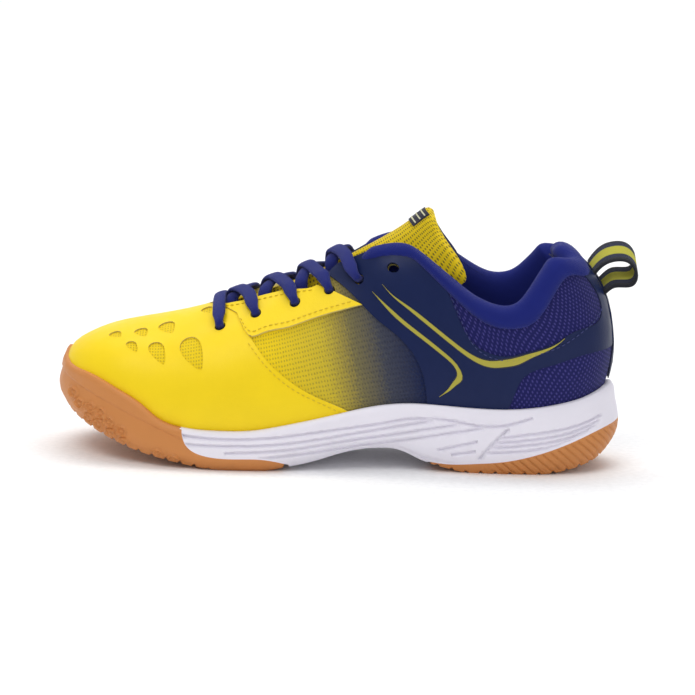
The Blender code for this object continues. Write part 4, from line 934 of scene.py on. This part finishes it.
def lace_half(side):
    """(p, q, stand) from the middle of the first bar to the tucked-in end; it goes in first at side."""
    centres = {s: locate(EYELETS, s) for s in (-1, 1)}
    p, q = centres[side][0]
    path = [(p, 0.0, OVER + 0.2), (p, q * 0.3, OVER + 0.3), (p, q * 0.6, OVER + 0.3),
            (p, q - side * 2.6, OVER + 0.2)]
    for k in range(LACED):
        p, q = centres[side][k]
        path += [(p, q, OVER - 0.4), (p, q, 0.0), (p, q, UNDER)]
        if k == LACED - 1:
            path += [(p + 5, q + side * 1.0, UNDER - 0.5), (p + 11, q + side * 1.5, UNDER - 1.0)]
            break
        p1, q1 = centres[-side][k + 1]
        lift = 3.2 if side > 0 else 0.0
        edge = min(throat_edge(p + step) for step in (0, 4, 8))
        path += [(p + 1.5, q - side * 3.5, UNDER), (p + 3.0, side * (edge - 0.8), UNDER),
                 (p + 5.0, side * (edge - 5.8), 0.5), ((p + p1) / 2, 0.0, 1.8 + lift),
                 (p1 - 3.0, -side * (throat_edge(p1 - 3) - 2.0), OVER + 0.4),
                 (p1 - 1.8, -side * 17.0, OVER + 0.6), (p1 - 1.0, q1 + side * 3.2, OVER + 0.5)]
        side = -side
    return np.array(path)


def lace_rows():
    halves = [skin(*lace_half(side).T) for side in (-1, 1)]
    route = np.concatenate([halves[0][::-1], halves[1][1:]])
    for _ in range(3):
        cut = [route[0]]
        for a, b in zip(route[:-1], route[1:]):
            cut += [a + (b - a) * 0.25, b + (a - b) * 0.25]
        route = np.array(cut + [route[-1]])
    knots = chord_knots(route)
    at = np.linspace(0, knots[-1], int(knots[-1] / 0.9))
    route = rows_at(at, knots, route)
    eyelets = np.concatenate([last_point(*locate(EYELETS, s).T) for s in (-1, 1)])
    near = np.linalg.norm(route[:, None] - eyelets[None], axis=2).min(1)
    open_ = np.clip((near - 3.6) / 4.0, 0, 1)
    width = 4.4 + 2.6 * open_
    thick = 2.3 + 0.5 * open_
    samples = np.linspace(90, 200, 50)
    crest = last_point(samples, np.zeros(50))
    along = rows_at(route[:, 0], crest[:, 0], np.gradient(crest, axis=0))
    tangent = unit(np.gradient(route, axis=0))
    across = unit(along - (along * tangent).sum(1)[:, None] * tangent)
    up = np.cross(tangent, across)
    turns = np.arange(16) * 2 * math.pi / 16
    c, s = np.cos(turns), np.sin(turns)
    shape = zip(np.sign(c) * np.abs(c) ** 0.75, np.sign(s) * np.abs(s) ** 0.85)
    return np.stack([route + across * (a * width / 2)[:, None] + up * (b * thick / 2)[:, None]
                     for a, b in shape], 1)


finish_piece(grid_tube("lace_cord", lace_rows(), [M["lace"]], sharp=80), "shoe", "lace", "lace")


# ---- the pull loop ----
def webbing_material():
    s = Shade("loop_webbing", NAVY, 0.8, Sheen_Weight=0.08)
    across = s.position()[1]
    place = s.maths("ADD", s.maths("MULTIPLY", across, 1000.0 / 20.0), 0.55)
    stripe = s.node("ValToRGB", {"Fac": place})
    stripe.color_ramp.interpolation = "CONSTANT"
    stops = stripe.color_ramp.elements
    while len(stops) < 5:
        stops.new(0.5)
    dark = (0.006, 0.008, 0.02)
    bands_across = ((0.0, dark), (0.20, NAVY), (0.34, LIME), (0.66, NAVY), (0.80, dark))
    for stop, (at, colour) in zip(stops, bands_across):
        stop.position, stop.color = at, (*colour, 1.0)
    rib = s.wave(s.place(PER_MM), 0.9)
    s.colour(s.mix(s.maths("MULTIPLY", rib, 0.35), stripe.outputs[0], (0.0, 0.0, 0.0)))
    return s.bump(s.maths("ADD", rib, s.wave(s.place(PER_MM), 1.2, axis="Y")), 0.0003, 0.8).material


LOOP_PATH = [(130, 103.5), (133, 108), (137.5, 112), (143, 113.8), (149, 113.2), (152.6, 109.8),
             (153.8, 105), (152.3, 101.4), (147.5, 100.2), (142, 99.6), (138.5, 97), (134.5, 92.5)]
LOOP_LEAN = math.radians(27.0)
LOOP_HALF, LOOP_STAND = 8.2, 0.8      # half the webbing's flat width, half its thickness


def loop_rows():
    line = smooth_line(LOOP_PATH, 1.0)
    ahead = unit(np.gradient(line, axis=0))
    flat = np.linspace(-LOOP_HALF, LOOP_HALF, 13)
    section = ([(y, LOOP_STAND) for y in flat] + [(LOOP_HALF + 0.4, 0.0)]
               + [(y, -LOOP_STAND) for y in flat[::-1]] + [(-LOOP_HALF - 0.4, 0.0)])
    return [[(x - dz * s, y * math.cos(LOOP_LEAN), z + dx * s + y * math.sin(LOOP_LEAN)) for y, s in section]
            for (x, z), (dx, dz) in zip(line, ahead)]


strap = grid_tube("loop_strap", loop_rows(), [webbing_material()], sharp=60)
finish_piece(strap, "pull_loop", "pull_loop", "pull_loop")

# ---- stripes and stitching ----
STRIPES = ([(21, 96), (26, 91), (33, 86), (46, 76.5), (58, 67.5), (66, 62), (74, 58.3), (83, 58),
           (92, 60), (99, 63), (115, 72)], [(16, 92), (24, 84.5), (33, 77), (44, 69), (54, 61.5),
           (60, 56), (62, 52), (60, 47.5), (57, 44), (52, 40)])


def stripe(name, line, widest, layer, material, side, slot):
    """A raised line with tapering ends on a quarter panel."""
    line = smooth_line(locate(line, side), 1.5)
    ahead = unit(np.gradient(line, axis=0))
    across = np.stack([-ahead[:, 1], ahead[:, 0]], 1)
    t = np.linspace(0, 1, len(line))
    half = widest / 2 * np.clip(np.minimum(t / 0.2, (1 - t) / 0.3), 0.1, 1)
    low, top = layer
    rows = []
    for share, stand in ((-1, low), (-1, top - 0.1), (-0.6, top), (0.6, top), (1, top - 0.1), (1, low)):
        place = line + across * (half * share)[:, None]
        rows.append(skin(place[:, 0], place[:, 1], stand))
    return finish_piece(grid_tube(name, np.stack(rows, 1), [M[material]]), "shoe", slot)


# The second layer is a painted shadow: a wider near-black band just under each olive stripe, for the shade
# round its raised edges.
STRIPE_LAYERS = (("stripe", 1.8, 1.35, "olive"), ("stripe_shadow", 2.5, 1.1, "painted_shadow"))
for side, word in SIDES:
    for k, line in enumerate(STRIPES):
        for name, widest, top, material in STRIPE_LAYERS:
            stripe(f"{name}_{k}_{word}", line, widest, (0.8, top), material, side, "quarter_film_" + word)


def stitches(name, lines, stand, material, slot, length=1.9, gap=1.1, radius=0.33):
    """Rows of sewn thread: each stitch is a small arched spindle."""
    points, faces = [], []
    for line in lines:
        fine = smooth_line(line, 0.6)
        place = skin(fine[:, 0], fine[:, 1], stand)
        up = last_normal(fine[:, 0], fine[:, 1])
        knots = chord_knots(place)
        starts = np.arange(1.0, knots[-1] - length, length + gap)
        for start in starts:
            at = start + length * np.linspace(0, 1, 5)
            middle, normal = rows_at(at, knots, place), rows_at(at, knots, up)
            ahead = middle[-1] - middle[0]
            ahead /= np.linalg.norm(ahead)
            across = np.cross(ahead, normal)
            swell = np.array([0.35, 0.9, 1.0, 0.9, 0.35]) * radius
            first = len(points)
            for m, n, c, r in zip(middle, normal, across, swell):
                for turn in range(5):
                    a = turn * 2 * math.pi / 5
                    points.append(m + n * (math.sin(a) * r + r * 0.4) + c * math.cos(a) * r)
            for k in range(first, first + 20, 5):
                for i in range(5):
                    j = (i + 1) % 5
                    faces.append((k + i, k + j, k + 5 + j, k + 5 + i))
            faces += [tuple(first + i for i in range(5)), tuple(first + 20 + i for i in range(5))]
    return finish_piece(make_object(name, points, faces, [material], sharp=70), "shoe", slot)


VAMP_STITCHES = [(-45.5, 65), (-38.5, 57), (-30, 49), (-18, 41), (-5, 35), (5, 30.5)]


def inset(line, side, distance):
    """A line on one side moved toward the crest by mm."""
    return np.stack([line[:, 0], line[:, 1] - side * distance], 1)


for side, word in SIDES:
    low = smooth_line(locate(EYESTAY_EDGE, side), 2.0)
    top = smooth_line(np.array([on_crest(x, gap, side) for x, gap in THROAT[1:]]), 2.0)
    stitches("eyestay_stitching_" + word, [inset(low[3:-2], side, 2.2), inset(top, side, -2.6)], 1.75,
             M["thread_yellow"], "eyestay_" + word)
    back = smooth_line(locate(MESH_BACK, side), 2.0)
    stitches("quarter_stitching_" + word, [inset(back, side, -1.6)], 0.95,
             M["thread_navy"], "quarter_film_" + word)
    edge = smooth_line(locate(VAMP_STITCHES, side), 2.0)
    stitches("vamp_stitching_" + word, [edge - (2.0, 0.0)], 0.85, M["thread_yellow"], "vamp_film")

# ---- the sole unit ----
FORE_END_X, HEEL_START_X = -26, 49      # where the forefoot's gum ends and the heel's starts
TOE_WRAP_X = -91.5                      # ahead of this the gum covers the whole wall
FINE = 500                # stations from toe to heel along each side
WALL = [(0, 0), (0.07, 1.6), (0.28, 4), (0.55, 3.4), (0.8, 1.8), (0.97, 0.3), (1, -0.4)]
bulge_at = spline([t for t, _ in WALL], [[b] for _, b in WALL])


def height(profile, x):
    xs, zs = np.array(profile, float).T
    return np.interp(x, xs, zs)


def bottom_height(x):
    return np.maximum(height(smooth_line(SOLE_BOTTOM, 3.0), x), 0.0)


def sole_edge():
    """The bottom edge and the top rim of each side, from toe to heel."""
    low, rim = {}, {}
    for side, plan in ((-1, EDGE_LATERAL), (1, EDGE_MEDIAL)):
        plan = spread_line(plan, FINE)
        top = spread_line([SOLE_TOP_TOE] + SOLE_TOP_LATERAL + [(144.0, SOLE_TOP_HEEL_Z)], FINE)
        coarse = np.linspace(0, FINE - 1, 90).astype(int)
        crest = np.linspace(1, P_END, 900)
        pq = locate(top[coarse], side)
        pq[0] = (float(np.interp(SOLE_TOP_TOE[1], RING_AT(crest)[:, 1], crest)), 0.0)
        pq[-1] = (heel_p(SOLE_TOP_HEEL_Z), side * Q_SEAM)
        ring = skin(pq[:, 0], pq[:, 1], 3.4 - 1.2 * np.clip((-128 - top[coarse, 0]) / 15, 0, 1))
        rim[side] = rows_at(np.arange(FINE), coarse, ring)
        low[side] = np.stack([plan[:, 0], plan[:, 1], bottom_height(plan[:, 0])], 1)
    return low, rim


LOW, TOP = sole_edge()


def plan_out(line, side):
    ahead = np.gradient(line, axis=0)
    out = unit(np.stack([ahead[:, 1], -ahead[:, 0], np.zeros(len(line))], 1) * -side)
    out[0], out[-1] = (-1, 0, 0), (1, 0, 0)
    return out


OUT = {side: (plan_out(LOW[side], side), plan_out(TOP[side], side)) for side in (-1, 1)}


def wall(side, t, inset_by=0.0):
    """The sole unit's side at fraction t, or one per station, from bottom edge to rim."""
    t = np.broadcast_to(t, FINE)[:, None]
    low, rim = LOW[side], TOP[side]
    out = OUT[side][0] * (1 - t) + OUT[side][1] * t
    ends = np.clip((np.abs(low[:, 0:1]) - 100) / 40, 0, 1)
    ends = ends * np.where(low[:, 0:1] < 0, 0.0, 0.25)
    return low + (rim - low) * t + out * (bulge_at(t[:, 0]) * (1 + ends) - inset_by)


def gum_share(side):
    """Where up the wall the outsole ends and the midsole starts, at every station."""
    low, rim = LOW[side], TOP[side]
    x = low[:, 0] + 1.5 * np.sign(low[:, 0])
    z = np.where(x < FORE_END_X, height(smooth_line(GUM_TOP_FORE, 2.0), x),
                 height(smooth_line(GUM_TOP_HEEL, 2.0), x))
    share = np.clip((z - low[:, 2]) / (rim[:, 2] - low[:, 2]), 0, 1)
    share = np.where(x < TOE_WRAP_X, 1.0, share)
    return np.where((x > FORE_END_X) & (x < HEEL_START_X), 0.0, share)


SHARE = {side: gum_share(side) for side in (-1, 1)}


def groove(distance, half, depth):
    """A soft-edged channel: depth inside half a width of the line, nothing beyond it."""
    return -depth * (1 - np.clip((distance - half * 0.4) / (half * 0.9), 0, 1) ** 2)


GROOVES = [[(-88.6, 18.4), (-62, 16.4), (-36.8, 17.3), (0, 22.4), (20, 25.5), (35.8, 28.5)], [(-82, 13.2),
           (-47, 13.2), (-20, 15.6), (0, 18.9), (25, 23.5), (49, 27.5)], [(-56, 9.6), (-44, 10.2),
           (-20, 12.4), (0, 15.8), (30, 20.5), (62, 26)], [(-39, 7.2), (-20, 9.4), (0, 12.2), (35, 17.5),
           (75, 24.4)], [(36, 28.5), (56, 28.3), (75, 25.5), (88, 26.5), (100, 30)], [(53, 12.7),
           (72, 17.3)], [(60, 10.4), (71, 12.2)], [(30.7, 13.2), (45, 8), (61, 4.9)], [(74, 8.5),
           (80, 16), (88, 24)], [(84, 19.6), (105, 22.5), (125, 26), (137, 30)], [(81.5, 17), (105, 19.6),
           (125, 23.5), (136, 27.5)], [(79, 14.4), (103, 16.8), (124, 21), (134, 25)], [(76, 11.7),
           (100, 13.6), (120, 18), (131, 22.5)]]
LUGS = [(-138.5, 33), (-134.6, 28), (-128.3, 27.2), (-122.6, 25.2), (-129.5, 20.8), (-123.5, 18.8),
        (-117.8, 21.2), (-117, 14.6), (-111, 17.2), (-110, 10.8), (-91.6, 7), (-83.1, 4.4)]


def ridge(turns, half):
    """1 at the middle of each turn, falling to 0 half a share of a turn away."""
    return np.clip(1 - np.abs(turns % 1.0 - 0.5) / half, 0, 1)


def midsole_relief(x, z, _):
    depth = np.zeros_like(x)
    for line in GROOVES:
        depth = np.minimum(depth, groove(distance_to(smooth_line(line, 3.0), x, z), 0.7, 1.7))
    return depth


LUG_RADIUS = 2.5
RIB_PITCH, NOTCH_PITCH, CHANNEL_PITCH, RING_PITCH = 5.2, 7.6, 6.2, 5.0
ZIGZAG_WIDTH, ZIGZAG_DEPTH = 15.0, 9.0
PIVOT, PIVOT_RADIUS = (-72.0, 2.0), 22
CHANNEL_DEPTH, NOTCH_DEPTH = 1.7, 1.5


def gum_relief(x, z, arc):
    """Raised ring lugs below the toe's step line; slanted ribs on the heel."""
    step = 42.6 - (x + 145.4) * 0.40
    below = np.clip((step - z) / 0.7, 0, 1) * np.clip((-72 - x) / 5, 0, 1)
    raised = np.zeros_like(x)
    for cx, cz in LUGS:
        d = np.hypot(x - cx, z - cz)
        raised = np.maximum(raised, np.clip(1.4 - np.abs(d - LUG_RADIUS) / 0.55, 0, 1))
        raised = np.maximum(raised, 0.6 * np.clip(1.6 - d / 0.7, 0, 1))
    ribs = ridge((arc + 0.9 * z) / RIB_PITCH, 0.2) * np.clip((x - 76) / 8, 0, 1)
    return below * (-0.8 + 1.3 * raised) - ribs


def notch(x, arc):
    """How far the tread's channels lift the bottom edge, where they run out of the side."""
    return NOTCH_DEPTH * ridge(arc / NOTCH_PITCH, 0.16) * np.clip((np.abs(x + 10) - 50) / 10, 0, 1)


def tread_relief(x, y):
    """Herringbone channels round a ringed pivot, as a height above the tread's face."""
    zigzag = np.abs((y / ZIGZAG_WIDTH) % 2.0 - 1.0) * ZIGZAG_DEPTH
    ring = np.hypot(x - PIVOT[0], y - PIVOT[1])
    channels = np.where(ring < PIVOT_RADIUS, ridge(ring / RING_PITCH, 0.2),
                        ridge((x + zigzag) / CHANNEL_PITCH, 0.2))
    return CHANNEL_DEPTH * channels


def sole_piece(name, chosen, span, relief, material, tread, thickness, top_inset):
    """Cross-sections from the lateral wall under the foot to the medial wall and back over the inside."""
    wall_rows, under_rows = 46, 72
    arcs = {side: chord_knots(LOW[side]) for side in (-1, 1)}
    sheets = {}
    for side in (-1, 1):
        layers = []
        for k in range(wall_rows):
            share = k / (wall_rows - 1)
            t = span[side][0] + (span[side][1] - span[side][0]) * share
            place = wall(side, t)
            fade = np.clip(np.minimum(share, 1 - share) * 9, 0, 1)
            lift = relief(place[:, 0], place[:, 2], arcs[side]) * fade
            place = place + (OUT[side][0] * (1 - t[:, None]) + OUT[side][1] * t[:, None]) * lift[:, None]
            if tread:
                low_share = np.clip(1 - (place[:, 2] - LOW[side][:, 2]) / 2.5, 0, 1)
                place[:, 2] += notch(place[:, 0], arcs[side]) * low_share
            layers.append(place)
        sheets[side] = layers
    inner = {side: [wall(side, span[side][0] + (span[side][1] - span[side][0]) * s, top_inset)
                    for s in (1.0, 0.5, 0.12)] for side in (-1, 1)}
    sunk = {side: np.clip(span[side][0] * 10, 0, 1) for side in (-1, 1)}
    ledge = {side: wall(side, span[side][0], 2.6 * sunk[side][:, None]) for side in (-1, 1)}
    start, end = (wall(side, 0.0, 3.8 * sunk[side][:, None]) for side in (-1, 1))
    if tread:
        start, end = sheets[-1][0], sheets[1][0]
    across = []
    for k in range(1, under_rows - 1):
        s = k / (under_rows - 1)
        flat = start + (end - start) * s
        edge = np.clip(np.minimum(s, 1 - s) * under_rows / 3.0, 0, 1)
        if tread:
            z = bottom_height(flat[:, 0]) + tread_relief(flat[:, 0], flat[:, 1]) * edge
            z = flat[:, 2] * (1 - edge) + z * edge
        else:
            rise = sunk[-1] * (1 - s) + sunk[1] * s
            z = bottom_height(flat[:, 0]) + thickness * rise
        flat[:, 2] = z
        across.append(flat)
    floor_from, floor_to = inner[1][2].copy(), inner[-1][2].copy()
    floor = []
    for k in range(8):
        s = k / 7
        line = floor_from + (floor_to - floor_from) * s
        line[:, 2] = bottom_height(line[:, 0]) + thickness + (3.0 if not tread else 1.0)
        floor.append(line)
    if not tread:
        across = [ledge[-1]] + across + [ledge[1]]
    rows = sheets[-1][::-1] + across + sheets[1] + inner[1] + floor + inner[-1][::-1]
    rows = np.stack(rows, 1)[chosen]
    return finish_piece(grid_tube(name, rows, [material], sharp=50), "shoe", name, name)


station_x = LOW[-1][:, 0]
fore = np.where(station_x < FORE_END_X - 1)[0]
heel = np.where(station_x > HEEL_START_X)[0]
mid = np.where(station_x > -90.2)[0]
gum_span = {side: (np.zeros(FINE), SHARE[side]) for side in (-1, 1)}
foam_span = {side: (np.minimum(SHARE[side], 0.97), np.ones(FINE)) for side in (-1, 1)}
sole_piece("outsole_forefoot", fore, gum_span, gum_relief, M["gum"], True, 2.6, 2.2)
sole_piece("outsole_heel", heel, gum_span, gum_relief, M["gum"], True, 2.6, 2.2)
sole_piece("midsole", mid, foam_span, midsole_relief, M["midsole"], False, 2.9, 2.5)


# ---- under the foot ----
def sockliner_rows():
    ps = np.linspace(FEATHER_P[0] + 9, FEATHER_P[1] - 9, 90)
    rows = []
    for p in ps:
        ends = min(p - ps[0], ps[-1] - p) / 22.0
        half = max(float(feather_turn(p)) - 3.0, 3.0) * math.sqrt(min(1.0, 0.12 + ends))
        qs = Q_SEAM + np.linspace(-half, half, 21)
        rows.append(np.concatenate([skin(np.full(21, p), qs, -7.5), skin(np.full(21, p), qs[::-1], -2.8)]))
    return rows


footbed = grid_tube("footbed", sockliner_rows(), [M["sockliner"]], sharp=50)
finish_piece(footbed, "shoe", "sockliner", "sockliner")
INNER_NODES = {"toe_puff": "hidden", "heel_counter": "hidden", "strobel_board": "hidden",
               "shank_plate": "aglet", "aglet_lateral": "aglet", "aglet_medial": "aglet"}
for node, material in INNER_NODES.items():
    mesh = bpy.data.objects[node].data
    mesh.materials.clear()
    mesh.materials.append(M[material])

# ---- floor, light and camera ----
# The backdrop's side view (y, z): a floor that curves up behind the shoe.
SWEEP = [(1.6 + math.sin(t), 1.0 - math.cos(t)) for t in np.linspace(0.1, math.pi / 2, 14)]
BACKDROP = [(-4.0, 0.0), (1.6, 0.0)] + SWEEP + [(2.6, 6.0)]
floor = bpy.data.meshes.new("floor")
floor.from_pydata([(x, y, z) for y, z in BACKDROP for x in (-6, 6)], [],
                  [(2 * k, 2 * k + 1, 2 * k + 3, 2 * k + 2) for k in range(len(BACKDROP) - 1)])
floor.shade_smooth()
floor.materials.append(plain("floor_paper", (0.95, 0.95, 0.95), 0.9, 0.00001))
floor_object = bpy.data.objects.new("floor", floor)
bpy.context.scene.collection.objects.link(floor_object)


def area_light(name, place, target, size, power, colour=(1, 1, 1)):
    light = bpy.data.lights.new(name, "AREA")
    light.shape, light.size, light.size_y = "RECTANGLE", size[0], size[1]
    light.energy, light.color = power, colour
    made = bpy.data.objects.new(name, light)
    made.location = place
    made.rotation_euler = (Vector(target) - Vector(place)).to_track_quat("-Z", "Y").to_euler()
    bpy.context.scene.collection.objects.link(made)


area_light("key", (-0.45, -0.8, 1.3), (0, 0, 0.05), (0.9, 0.7), 7.0)
area_light("fill", (0.9, -1.0, 0.7), (0, 0, 0.05), (0.9, 0.9), 1.6)
area_light("top", (0.1, 0.35, 1.5), (0, 0, 0.05), (1.2, 1.0), 5.5)
area_light("backdrop_light", (0.0, 0.7, 2.6), (0, 2.6, 0.6), (3.0, 1.0), 42.0)
world = bpy.data.worlds.new("studio")
world.use_nodes = True
world.node_tree.nodes["Background"].inputs["Color"].default_value = (0.97, 0.98, 1.0, 1.0)
world.node_tree.nodes["Background"].inputs["Strength"].default_value = 0.50
bpy.context.scene.world = world

ELEVATION, ROLL, DISTANCE = math.radians(10.0), math.radians(2.0), 1.10
TARGET = Vector((0.0028, -0.001, 0.0575))
camera = bpy.data.cameras.new("camera")
camera.sensor_width, camera.lens = 36.0, 107.5
camera_object = bpy.data.objects.new("camera", camera)
towards = Vector((0.0, -math.cos(ELEVATION), math.sin(ELEVATION)))
camera_object.location = TARGET + towards * DISTANCE
view = (-towards).to_track_quat("-Z", "Y").to_matrix()
roll = Matrix.Rotation(ROLL, 3, "Z")
camera_object.rotation_euler = (view @ roll).to_euler()
bpy.context.scene.collection.objects.link(camera_object)
bpy.context.scene.camera = camera_object
bpy.context.scene.view_settings.view_transform = "Standard"
